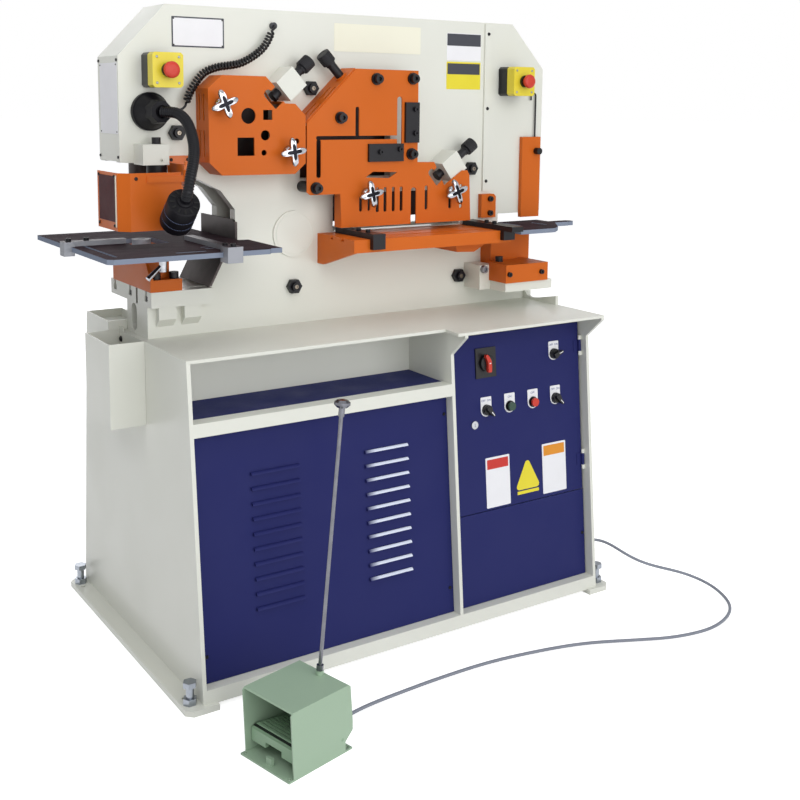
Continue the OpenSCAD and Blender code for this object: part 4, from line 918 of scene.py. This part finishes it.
class RibbedSleeve(Rig):
    """Sweeps a round sleeve with ribs along a curve."""

    name = "ribbed_sleeve"
    inputs = {"Radius": "Float", "Rib pitch": "Float", "Rib depth": "Float", "Sides": "Int"}

    def shape(self, tree: Tree, given: bpy.types.NodeOutputs) -> Socket:
        """The swept sleeve, its radius a cosine of the place along the curve."""
        step = maths(tree, "DIVIDE", given["Rib pitch"], 4.0)
        even = add(tree, "GeometryNodeResampleCurve", {"mode": "LENGTH"},
                   {"Curve": given[0], "Length": step})
        along = add(tree, "GeometryNodeSplineParameter").outputs["Length"]
        turn = maths(tree, "MULTIPLY", maths(tree, "DIVIDE", along, given["Rib pitch"]),
                     2 * math.pi)
        depth = ramp(tree, maths(tree, "COSINE", turn), (-1.0, 1.0), (given["Rib depth"], 0.0))
        width = maths(tree, "SUBTRACT", given["Radius"], depth)
        sized = add(tree, "GeometryNodeSetCurveRadius",
                    links={"Curve": even.outputs[0], "Radius": width})
        wire = add(tree, "GeometryNodeCurvePrimitiveCircle", {"mode": "RADIUS"},
                   {"Resolution": given["Sides"], "Radius": 1.0})
        swept = add(tree, "GeometryNodeCurveToMesh", links={
            "Curve": sized.outputs[0], "Profile Curve": wire.outputs[0], "Fill Caps": True,
        })
        # Newer trees take the width here and not from the curve
        scale = swept.inputs.get("Scale")
        if scale is not None:
            tree.links.new(width, scale)
        return add(tree, "GeometryNodeSetShadeSmooth",
                   links={"Geometry": swept.outputs[0]}).outputs[0]

    def make(self, name: str, points: list[Vector], radius: float, pitch: float, depth: float,
             sides: int, finish: Finish) -> Piece:
        """Sweeps a sleeve along points.

        Args:
            name: Name of the piece.
            points: Line of the sleeve in metres.
            radius: Radius over the ribs in metres.
            pitch: Distance from rib to rib in metres.
            depth: Depth between the ribs in metres.
            sides: Facets round the sleeve.
            finish: Its finish.

        Returns:
            The piece as a plain mesh.
        """
        return self.run(strung(name, [points]), name, {
            "Radius": radius, "Rib pitch": pitch, "Rib depth": depth, "Sides": sides,
            "Finish": finish.material(),
        })


# Half sections of screw heads for a radius of 1
SOCKET = ((0, -0.05), (0.98, -0.05), (1.0, 0.1), (1.0, 0.95), (0.9, 1.08), (0.6, 1.1),
          (0.54, 1.0), (0.54, 0.45), (0, 0.35))
BUTTON = ((0, -0.05), (0.98, -0.05), (1.0, 0.1), (0.9, 0.35), (0.6, 0.55), (0.46, 0.58),
          (0.42, 0.3), (0, 0.28))
TIP = ((0, -0.1), (0.98, -0.1), (1.0, 0.9), (0.8, 1.1), (0.45, 1.1), (0.42, 0.6), (0, 0.58))

UP, FRONT, LEFT = (0, 0, 1), (0, -1, 0), (-1, 0, 0)


@dataclass(frozen=True)
class Row:
    """Like screw heads on one body: the feet of those that face each way, in millimetres."""

    name: str
    body: str
    radius: float
    feet: dict[Point, tuple[Point, ...]]
    head: tuple[Flat, ...] = SOCKET
    finish: Finish = OXIDE
    slot: str = "black_oxide"


class ScrewRows(Rig):
    """Stands one screw head on every given point."""

    name = "screw_rows"
    inputs = {"Head": "Object", "Radius": "Float", "Seed": "Int"}

    def shape(self, tree: Tree, given: bpy.types.NodeOutputs) -> Socket:
        """The heads, each turned at random about the way that it faces."""
        head = add(tree, "GeometryNodeObjectInfo", links={"Object": given["Head"]})
        facing = add(tree, "GeometryNodeInputNamedAttribute", {"data_type": "FLOAT_VECTOR"},
                     {"Name": "facing"})
        turn = add(tree, "FunctionNodeRandomValue", {"data_type": "FLOAT"},
                   {2: 0.0, 3: math.pi / 3, "Seed": given["Seed"]})
        spin = add(tree, "FunctionNodeAxisAngleToRotation",
                   links={"Axis": (0.0, 0.0, 1.0), "Angle": turn.outputs[1]})
        aim = add(tree, "FunctionNodeAlignRotationToVector", {"axis": "Z"},
                  {"Vector": facing.outputs[0]})
        both = add(tree, "FunctionNodeRotateRotation", {"rotation_space": "LOCAL"},
                   {0: aim.outputs[0], 1: spin.outputs[0]})
        size = add(tree, "ShaderNodeCombineXYZ", links=dict.fromkeys(range(3), given["Radius"]))
        return add(tree, "GeometryNodeInstanceOnPoints", links={
            "Points": given[0], "Instance": head.outputs["Geometry"],
            "Rotation": both.outputs[0], "Scale": size.outputs[0],
        }).outputs[0]

    def make(self, row: Row) -> None:
        """Stands the heads of a row and lets them ride on their body.

        Args:
            row: What to stand where.
        """
        model = turned(f"{row.name}_head", row.head, Matrix.Scale(1 / MM, 4), 12)
        places = [(spot(*foot), way) for way, feet in row.feet.items() for foot in feet]
        mesh = bpy.data.meshes.new(row.name)
        mesh.from_pydata([at for at, _ in places], [], [])
        facing = mesh.attributes.new("facing", "FLOAT_VECTOR", "POINT")
        for entry, (_, way) in zip(facing.data, places):
            entry.vector = way
        piece = self.run(link(f"{row.name}_points", mesh), row.name, {
            "Head": model, "Radius": row.radius * MM, "Seed": 7,
            "Finish": row.finish.material(),
        })
        bpy.data.objects.remove(model)
        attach(piece, row.body)


# ---- Sub-assemblies ----


@dataclass
class SmallScrews:
    """Cap screws of the gauges, guides and guards, and those of the stops' boxes."""

    rows: ScrewRows
    screws: tuple[Row, ...] = (
        Row("left_gauge_screws", "left_punch_gauge", 7,
            {UP: ((-786, -30, 1077.2), (-742, -30, 1077.2))}),
        Row("right_gauge_screws", "right_punch_gauge", 7,
            {UP: ((-494, -294, 1077.2), (-487, -324, 1079.2))}),
        Row("left_guide_screws", "left_shear_guide", 6.5,
            {UP: ((-52, -178, 1079.7), (-52, -226, 1079.7))}),
        Row("right_guide_screws", "right_shear_guide", 6.5,
            {UP: ((382, -176, 1079.7), (382, -212, 1079.7))}),
        Row("punch_guard_screws", "punch_guard", 4.5,
            {LEFT: ((-714, -160, 1240), (-714, -160, 1124), (-714, -54, 1240), (-714, -54, 1124)),
             FRONT: ((-676, -202.1, 1236),)}, BUTTON),
        Row("bracket_screws", "machine", 4.5,
            {FRONT: ((-537, -76, 1272), (-493, -76, 1272))}, BUTTON),
        Row("stop_box_screws", "machine", 3.4,
            {FRONT: tuple((x + i * 28, -145, z + k * 31) for x, z in BOX_STOPS
                          for i in (-1, 1) for k in (-1, 1))}, BUTTON, ZINC, "box_yellow"),
    )

    def build(self) -> None:
        """Stands every row."""
        for row in self.screws:
            self.rows.make(row)


@dataclass
class Fittings:
    """Collars of the stops, nuts of the bed, and the screws and studs that hold or adjust."""

    rows: ScrewRows
    screws: tuple[Row, ...] = (
        Row("slug_box_screw", "machine", 8, {LEFT: ((-625.1, 66, 802),)}, BUTTON),
        Row("adjuster_tips", "machine", 6.7,
            {FRONT: tuple((x, -88.1, z) for x, z in (
                (-522, 1339), (-142, 1454), (395, 1229), (356, 914), (-194, 926)))}, TIP, STUD),
    )

    def build(self) -> None:
        """Adds the collars and the nuts, and stands the rows."""
        for k, (x, z) in enumerate(BOX_STOPS):
            collar = dress(cut_plate(f"stop_collar_{k}", [ring(17.3), ring(12.6)], 8.5,
                                     placed(Way.FRONT, x, -144.9, z), edge=0.6), SWITCH)
            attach(collar, "machine")
        tee = [(-5, 0), (-5, -13), (-10, -13), (-10, -25.5), (10, -25.5), (10, -13), (5, -13),
               (5, 0)]
        nuts = join("bed_tee_nuts", [
            dress(cut_plate("tee_nut", [tee], 16,
                            placed(Way.LEFT, LEFT_X + 79, y, WORK_Z - 121), edge=0.8), OXIDE)
            for y in (-64, 48)])
        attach(nuts, "machine")
        for row in self.screws:
            self.rows.make(row)


@dataclass
class StarKnobs:
    """Chromed star knobs: four arms that flow into a hub on a turned stem.

    Each level of the star has a height, how far it grows beyond the outline and the share
    of the way out that it keeps.
    """

    places: tuple[tuple[str, Flat, float], ...] = (
        ("upper_section_knob", (-437, 1411), 22), ("lower_section_knob", (-248, 1291), 8),
        ("left_shear_knob", (-11, 1175), 12), ("right_shear_knob", (272, 1171), 20),
    )
    stem: tuple[Flat, ...] = (
        (0, -1), (13.0, -1), (15.2, 1.5), (16.2, 5), (16.2, 9), (14.8, 13), (11.8, 17),
        (9.8, 20), (9.8, 24), (11, 26), (11.5, 29), (0, 29),
    )
    levels: tuple[tuple[float, float, float], ...] = (
        (0.0, -3.0, 1), (2.4, -0.9, 1), (7.0, 0.0, 1), (9.6, -0.9, 1), (11.7, -3.0, 1),
        (12.1, -3.0, 0.62),
    )
    top: float = 12.4
    reach: float = 37.5
    hub: float = 14.5
    waist: float = 2.7
    droop: float = 1.5
    crease: float = 50.0
    steps: int = 96

    def build(self) -> None:
        """Forges one knob for each of the four shafts."""
        for node, (x, z), turn in self.places:
            star = self.star(f"{node}_star", turn)
            stem = turned(f"{node}_stem", self.stem, placed(Way.FRONT, x, GUARD_Y - 0.4, z), 32)
            star.data.transform(placed(Way.FRONT, x, GUARD_Y - 26.5, z))
            knob = join(f"{node}_chrome", [star, dress(stem, CHROME)])
            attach(knob, node)
            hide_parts(node)
        log.info("%d star knobs", len(self.places))

    def star(self, name: str, turn: float) -> Piece:
        """One cross of four arms, its tips thinned and its flat middle painted dark as a
        reflection.
        """
        rings = [[spot(0, 0, 0)]]
        for height, grow, share in self.levels:
            loop = []
            for i in range(self.steps):
                angle = 2 * math.pi * i / self.steps
                arm = abs(math.cos(2 * angle)) ** self.waist
                radius = (self.hub + (self.reach - self.hub) * arm + grow) * share
                loop.append(spot(radius * math.cos(angle), radius * math.sin(angle),
                                 height - self.droop * arm * (radius / self.reach) ** 2))
            rings.append(loop)
        star = skinned(name, [*rings, [spot(0, 0, self.top)]], self.crease,
                       Matrix.Rotation(math.radians(turn), 4, "Z"))
        mesh = star.data
        mesh.materials.append(CHROME.material())
        mesh.materials.append(DARK_REFLECTION.material())
        # Painted reflection: the flat top takes a near-black plate
        for face in mesh.polygons:
            high = max(mesh.vertices[i].co.z for i in face.vertices)
            face.material_index = int(high > (self.top - 0.2) * MM)
        return star


@dataclass(frozen=True)
class Panel:
    """A bare plate or field of colour, and the fields that lie on it.

    The middle is a point in millimetres; on the door it is a place along it and a height.
    Each layer has a size, a shift upwards from the middle and a finish.
    """

    name: str
    way: Way
    middle: tuple[float, ...]
    size: Flat
    finish: Finish
    layer: tuple[Flat, float, Finish] | None = None
    corner: float = 1.5
    rivets: bool = False


@dataclass
class Plates:
    """The bare plates on the frame, its end wall and the control door."""

    panels: tuple[Panel, ...] = (
        Panel("data_plate", Way.FRONT, (-459, FACE_Y, 1587), (140, 74), PLATE_FRAME,
              ((133, 67), 0, WHITE_PLATE), rivets=True),
        Panel("maker_field", Way.FRONT, (73.5, FACE_Y, 1591), (281, 74), IVORY_FIELD),
        Panel("upper_notice", Way.FRONT, (367, FACE_Y, 1579.5), (122, 77), WHITE_PLATE,
              ((120, 34), 20, PLATE_FRAME)),
        Panel("lower_notice", Way.FRONT, (367, FACE_Y, 1498), (122, 78), YELLOW_FIELD,
              ((116, 31), 19, PLATE_FRAME)),
        Panel("end_notice", Way.LEFT, (-667.5, -4, 1422), (122, 172), WHITE_PLATE, rivets=True),
        Panel("red_notice", Way.DOOR, (294, 376.5), (84, 141), WHITE_PLATE,
              ((74, 27), 51, RED_FIELD), 3),
        Panel("amber_notice", Way.DOOR, (500, 382), (88, 144), WHITE_PLATE,
              ((78, 29), 52, AMBER_FIELD), 3),
    )
    sheet: float = 0.8
    rivet: tuple[Flat, ...] = ((0, 0), (2.2, 0), (2.1, 1.3), (1.3, 2.1), (0, 2.4))

    def build(self) -> None:
        """Cuts every plate with its fields and puts in its rivets."""
        for panel in self.panels:
            self.lay(panel)
        for name, outline, at in (("yellow_wedge", self.wedge(85, 86, 9), (400.5, 380)),
                                  ("yellow_strip", rounded(78, 9, 0.8), (401, 329))):
            piece = dress(cut_plate(name, [outline], self.sheet,
                                    placed(Way.DOOR, *at)), YELLOW_FIELD)
            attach(piece, "control_door")
        log.info("%d plates", len(self.panels) + 2)

    def lay(self, panel: Panel) -> None:
        """Builds one plate.

        Args:
            panel: What to build.
        """
        place = placed(panel.way, *panel.middle)
        pieces = [dress(cut_plate(panel.name, [rounded(*panel.size, panel.corner)], self.sheet,
                                  place), panel.finish)]
        if panel.layer:
            size, shift, finish = panel.layer
            pieces.append(dress(cut_plate(f"{panel.name}_0", [rounded(*size, 1)], 1.1,
                                          beside(place, 0, shift)), finish))
        if panel.rivets:
            w, h = panel.size[0] / 2 - 5, panel.size[1] / 2 - 5
            pieces += [dress(turned(f"{panel.name}_rivet", self.rivet, beside(place, x, y), 12),
                             DARK_SCREW) for x in (-w, w) for y in (-h, h)]
        whole = join(panel.name, pieces)
        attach(whole, "control_door" if panel.way is Way.DOOR else "machine")

    def wedge(self, width: float, height: float, radius: float) -> list[Flat]:
        """Outline of a three-sided plate that stands on its base, with round corners."""
        corners = ((width / 2 - radius * 1.2, -height / 2 + radius, -90),
                   (0, height / 2 - radius * 1.6, 30),
                   (-width / 2 + radius * 1.2, -height / 2 + radius, 150))
        return [(x + radius * math.cos(turn), y + radius * math.sin(turn))
                for x, y, first in corners
                for turn in (math.radians(first + 20 * k) for k in range(7))]


@dataclass
class Operators:
    """Legend plates, selector handles and the main switch on the control door."""

    legends: tuple[tuple[float, float, str], ...] = (
        (261, 581, "OFF  ON"), (344, 581, "ON"), (428, 581, "OFF"), (512, 581, "OFF  ON"),
        (511, 709, "OFF  ON"),
    )
    selectors: tuple[tuple[str, float, float, float], ...] = (
        ("left_selector", 261, 581, -140), ("right_selector", 512, 581, -140),
        ("upper_selector", 511, 709, -70),
    )
    main: Flat = (263, 712)
    base: tuple[Flat, ...] = ((0, 4.2), (14.2, 4.2), (14.6, 5.2), (14.4, 11.6), (13.2, 13.2),
                              (0, 13.4))
    grip: tuple[Flat, ...] = ((-5.6, -13), (5.6, -13), (6.2, 0), (4.6, 16), (2.6, 21),
                              (-2.6, 21), (-4.6, 16), (-6.2, 0))
    dial: tuple[Flat, ...] = ((0, 4.3), (22, 4.3), (22.6, 5.2), (22, 12), (20, 13.6), (0, 13.8))
    bar: tuple[Flat, ...] = (
        (-5, -25), (4, -25), (6, -22), (6.5, -2), (5, 8), (-3, 21), (-8, 25), (-13, 23),
        (-13, 18), (-8, 9), (-6, -1), (-6.5, -22),
    )

    def build(self) -> None:
        """Builds the legends, the handles and the main switch."""
        for x, z, words in self.legends:
            self.legend(x, z, words)
        for node, x, z, turn in self.selectors:
            self.selector(node, x, z, turn)
        self.main_switch()
        log.info("door operators ready")

    def legend(self, x: float, z: float, words: str) -> None:
        """One white plate, round at the bottom, with the hole for its switch."""
        outline = [*ring(18.5, steps=30)[15:], (18.5, 0), (18.5, 34), (16.5, 36), (-16.5, 36),
                   (-18.5, 34)]
        place = placed(Way.DOOR, x, z)
        whole = join(f"legend_{x:.0f}_{z:.0f}", [
            dress(cut_plate("legend", [outline, ring(15.2)], 0.9, place), WHITE_PLATE),
            dress(lettering("legend_print", words, 8.5, beside(place, 0, 26, 0.95)), BLUE_PRINT),
        ])
        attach(whole, "control_door")

    def selector(self, node: str, x: float, z: float, turn: float) -> None:
        """One knob with a tapered handle and the white line of its pointer."""
        place = placed(Way.DOOR, x, z)
        spin = place @ Matrix.Rotation(math.radians(turn), 4, "Z")
        knob = join(f"{node}_knob", [
            dress(turned(f"{node}_base", self.base, place, 40), SWITCH),
            dress(cut_plate(f"{node}_grip", [self.grip], 12, beside(spin, 0, 0, 11), edge=1.0),
                  SWITCH),
            dress(cut_plate(f"{node}_line", [rounded(2.2, 14, 0.8)], 0.5,
                            beside(spin, 0, 11.5, 22.8)), WHITE_PLATE),
        ])
        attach(knob, node)
        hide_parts(node)

    def main_switch(self) -> None:
        """A black dial with a bent red bar across it."""
        place = placed(Way.DOOR, *self.main)
        lever = join("main_switch", [
            dress(turned("main_switch_dial", self.dial, place), SWITCH),
            dress(cut_plate("main_switch_bar", [self.bar], 10, beside(place, 0, 0, 13.5),
                            edge=0.8), RED),
            dress(cut_plate("main_switch_mark", [rounded(5, 3, 0.5)], 0.4,
                            beside(place, 0, 0, 23.4)), WHITE_PLATE),
        ])
        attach(lever, "main_switch_lever")
        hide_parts("main_switch_lever")


@dataclass
class GuardWindow:
    """The dark wine-coloured pane in the left side of the punch guard with its light strip."""

    def build(self) -> None:
        """Cuts the pane and the strip."""
        for name, size, thickness, middle, finish in (
            ("guard_pane", (113, 108), 1.2, (-714.2, -112.5, 1187), WINDOW),
            ("guard_strip", (5, 122), 1.6, (-714, -171.5, 1182), IVORY_FIELD),
        ):
            piece = dress(cut_plate(name, [rounded(*size, 1)], thickness,
                                    placed(Way.LEFT, *middle)), finish)
            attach(piece, "punch_guard")


@dataclass
class Lamp:
    """The work lamp: a ribbed gooseneck, a vented shade and a bulb behind its rim.

    The heights of the shade's sections run from its top, those of the bowl from its rim.
    """

    sleeve: RibbedSleeve
    neck: tuple[Point, ...] = (
        (-589, -157, 1391), (-568, -195, 1388), (-562, -240, 1366), (-567, -285, 1323),
        (-583, -322, 1285), (-601, -345, 1247), (-609, -350, 1219), (-609, -340, 1203),
        (-608, -330, 1195),
    )
    tilt: Flat = (51.7, -7.0)
    radius: float = 38.0
    length: float = 96.0
    slots: int = 12
    row: int = 64

    def build(self) -> None:
        """Builds the neck over its core and the shade in place of its plain form."""
        # The sleeve ends where the neck goes into the shade
        line = curve_points(self.neck, steps=10)[:-5]
        cover = self.sleeve.make("lamp_neck_sleeve", line, radius=13.4 * MM, pitch=6.4 * MM,
                                 depth=2.6 * MM, sides=20, finish=NECK)
        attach(cover, "machine")
        place = (Matrix.Translation(spot(*self.neck[-1]))
                 @ Matrix.Rotation(math.radians(self.tilt[1]), 4, "Y")
                 @ Matrix.Rotation(math.radians(self.tilt[0]), 4, "X"))
        shade = join("lamp_shade", [
            self.shell(place), self.vents(place), self.beads(place), self.inside(place),
        ])
        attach(shade, "machine")
        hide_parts("lamp_head")

    def shell(self, place: Matrix) -> Piece:
        """The turned shade with a rounded shoulder and two shallow grooves."""
        r, h = self.radius, self.length
        return dress(turned("shade_shell", [
            (r - 3, -h + 15), (r - 2.6, -h), (r, -h), (r + 0.6, -h + 1.5), (r + 0.6, -h + 21),
            (r - 0.6, -h + 21.8), (r - 0.6, -h + 23.2), (r + 0.3, -h + 24), (r + 0.3, -h + 47),
            (r - 0.8, -h + 47.8), (r - 0.8, -h + 49.2), (r, -h + 50), (r, -15), (r - 0.7, -12.6),
            (r - 2.4, -11.4), (r - 4, -11), (19.5, -9.6), (18.6, -9), (17.4, -5), (14, -2.5),
            (13.4, 0), (0, 0),
        ], place, 72), LAMP)

    def vents(self, place: Matrix) -> Piece:
        """Slots round the shoulder that let the heat out."""
        work = bmesh.new()
        for i in range(self.slots):
            spin = place @ Matrix.Rotation(2 * math.pi * (i + 0.5) / self.slots, 4, "Z")
            bmesh.ops.create_cube(work, size=MM, matrix=beside(spin, 28, 0, -10.1)
                                  @ Matrix.Diagonal((11, 4.2, 1.6, 1)))
        return dress(poured("shade_vents", work), VENT)

    def beads(self, place: Matrix) -> Piece:
        """Two rings of small beads that grip the fingers when the shade is turned."""
        work = bmesh.new()
        for height in (22.5 - self.length, 48.5 - self.length):
            for i in range(self.row):
                spin = place @ Matrix.Rotation(2 * math.pi * i / self.row, 4, "Z")
                bmesh.ops.create_icosphere(work, subdivisions=1, radius=1.25 * MM,
                                           matrix=beside(spin, self.radius - 0.2, 0, height))
        # The beads' pale bluish colour is a painted highlight
        return dress(poured("shade_beads", work), BEAD_HIGHLIGHT)

    def inside(self, place: Matrix) -> Piece:
        """The bright reflector and the opal bulb."""
        r, rim = self.radius - 3.1, beside(place, 0, 0, -self.length)
        bowl = dress(turned("shade_bowl", [
            (r, 14), (r - 1, 30), (r - 5, 48), (r - 13, 62), (12, 70), (0, 70), (0, 71),
            (13, 71.5), (r - 12, 63.5), (r - 4, 49), (r, 30), (r + 0.3, 14),
        ], rim), REFLECTOR)
        bulb = dress(turned("shade_bulb", [
            (0, 20), (9, 22), (16, 28), (19, 37), (18, 46), (13, 57), (12, 70), (0, 70),
        ], rim, 32), BULB)
        return join("shade_inside", [bowl, bulb])


@dataclass
class HoldDownCaps:
    """Knurled black caps over the heads of the three hold-down screws.

    Each has the foot of its screw's axis, how far that leans and the height of the cap's top.
    """

    places: tuple[tuple[str, Point, float, float], ...] = (
        ("section_hold_down", (-233, -112, 1464), 42.0, 92.0),
        ("angle_hold_down", (-67.9, -112, 1483.1), 133.82, 84.0),
        ("bar_hold_down", (289, -112, 1242), 36.0, 106.0),
    )
    section: tuple[Flat, ...] = ((0, -31), (18.6, -31), (19.4, -29.5), (19.4, -1.5), (18, 0.3),
                                 (12, 0.8), (11, -0.4), (0, -0.4))
    wall: float = 18.5
    ribs: int = 36
    rib_depth: float = 0.045

    def build(self) -> None:
        """Turns each cap with its ribs."""
        for body, at, lean, above in self.places:
            cap = turned(f"{body}_cap", [(r, above + z) for r, z in self.section],
                         Matrix.Identity(4), 72)
            self.knurl(cap)
            cap.data.transform(Matrix.Translation(spot(*at))
                               @ Matrix.Rotation(math.radians(90 - lean), 4, "Y"))
            dress(cap, OXIDE)
            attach(cap, body)

    def knurl(self, cap: Piece) -> None:
        """Presses straight ribs into the cap's wall."""
        for vertex in cap.data.vertices:
            if math.hypot(vertex.co.x, vertex.co.y) > self.wall * MM:
                wave = math.cos(self.ribs * math.atan2(vertex.co.y, vertex.co.x))
                vertex.co.xy *= 1 - self.rib_depth * (0.5 + 0.5 * wave)
        cap.data.shade_flat()


@dataclass
class FootConduit:
    """The ribbed conduit that lies on the floor from the cabinet's side to the pedal."""

    sleeve: RibbedSleeve
    radius: float = 4.5
    gland_out: float = 101.0
    route: tuple[Point, ...] = (
        (-382, -652, 17), (-352, -638, 12), (-312, -623, 8), (-262, -614, 6), (-200, -610, 6),
        (-62, -604, 6), (115, -610, 6), (337, -654, 6), (494, -723, 6), (588, -764, 6),
        (700, -783, 6), (788, -766, 6), (862, -724, 6), (902, -665, 8), (920, -590, 14),
        (883, -530, 32), (812, -505, 56), (756, -482, 76), (724, -450, 94), (712, -415, 108),
        (706, -388, 116), (697, -368, 122), (684, -355, 125),
    )

    def build(self) -> None:
        line = evened([
            self.by_pedal(0, 22), self.by_pedal(18, 21), *curve_points(self.route, steps=6),
            spot(666, -350.2, 125), spot(*GLAND_AT),
        ], step=6 * MM, rounds=24)
        line.reverse()
        conduit = self.sleeve.make("foot_conduit_sheath", line, radius=self.radius * MM,
                                   pitch=5 * MM, depth=0.7 * MM, sides=12, finish=CONDUIT)
        boot = self.boot()
        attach(conduit, "machine")
        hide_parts("foot_conduit")
        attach(boot, "machine")
        tuple(line[0])
        run_length(line)
        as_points(line)
        log.info("foot conduit %.2f m", run_length(line))

    def by_pedal(self, past: float, z: float) -> Vector:
        """A point on the axis of the pedal's gland, some way past its end."""
        reach = self.gland_out + past
        return spot(PEDAL_AT[0] + reach * math.cos(PEDAL_TURN),
                    PEDAL_AT[1] + reach * math.sin(PEDAL_TURN), z)

    def boot(self) -> Piece:
        """Tapered rubber boot over the conduit at the cabinet's gland."""
        profile = [(4.7, 0.0), (10.5, 0.0)]
        for i in range(5):
            low, wide = 1.5 + i * 5.2, 10.5 - i * 1.1
            profile += [(wide, low), (wide, low + 3.4), (wide - 1.6, low + 3.9),
                        (wide - 1.6, low + 4.9)]
        place = Matrix.Translation(spot(*GLAND_AT)) @ Matrix.Rotation(math.radians(90), 4, "Y")
        return dress(turned("conduit_boot", [*profile, (4.7, 28.0)], place, 24), GLAND)


@dataclass
class CurlyCord:
    """The coiled lamp cord between the grommet in the frame and the lamp's base."""

    wire: float = 6.0
    coil: float = 9.0
    pitch: float = 8.4
    steps: int = 14
    start: tuple[Point, ...] = ((-252, -82, 1612), (-252, -88, 1611), (-256, -95, 1606))
    line: tuple[Point, ...] = (
        (-264, -95, 1598), (-293, -95, 1552), (-352, -95, 1515), (-419, -95, 1502),
        (-459, -95, 1484), (-492, -95, 1440), (-502, -95, 1411),
    )
    end: tuple[Point, ...] = ((-507, -96, 1402), (-520, -96, 1395), (-547, -96, 1392))

    def build(self) -> None:
        core = curve_points(self.line, steps=60)
        turns = run_length(core) / (self.pitch * MM)
        path = evened([*(spot(*p) for p in self.start), *self.wound(core, turns),
                       *(spot(*p) for p in self.end)], step=2 * MM, rounds=6)
        piece = strung("lamp_curly_cord", [path])
        curve = piece.data
        curve.bevel_depth = self.wire / 2 * MM
        curve.bevel_resolution = 3
        curve.use_fill_caps = True
        curve.splines[0].use_smooth = True
        dress(piece, CORD)
        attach(piece, "machine")
        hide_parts("curly_cord")
        tuple(path[0])
        run_length(path)
        log.info("curly cord %.2f m in %d turns", run_length(path), round(turns))

    def wound(self, core: list[Vector], turns: float) -> list[Vector]:
        """Points of the coil round its core; the first and the last turn swell and shrink."""
        count = int(turns * self.steps)
        side = Vector((0, 1, 0))
        coil = []
        for i, (centre, ahead) in enumerate(stations(core, count)):
            up = side.cross(ahead).normalized()
            swell = min(1.0, (i + 2) / self.steps, (count - i + 2) / self.steps)
            turn = 2 * math.pi * i / self.steps
            radius = self.coil * MM * swell
            coil.append(centre + radius * (math.cos(turn) * side + math.sin(turn) * up))
        return coil


def main() -> None:
    """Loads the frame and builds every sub-assembly in order."""
    logging.basicConfig(level=logging.INFO, format="%(name)s: %(message)s")
    bpy.ops.wm.read_factory_settings(use_empty=True)
    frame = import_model()
    Studio().build()
    sleeve = RibbedSleeve()
    FootConduit(sleeve).build()
    CurlyCord().build()
    Lamp(sleeve).build()
    StarKnobs().build()
    HoldDownCaps().build()
    GuardWindow().build()
    Plates().build()
    Operators().build()
    rows = ScrewRows()
    SmallScrews(rows).build()
    Fittings(rows).build()
    for name, node in frame["nodes"].items():
        dress(node, NODE_FINISH[name])
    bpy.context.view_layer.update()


if __name__ == "__main__":
    main()
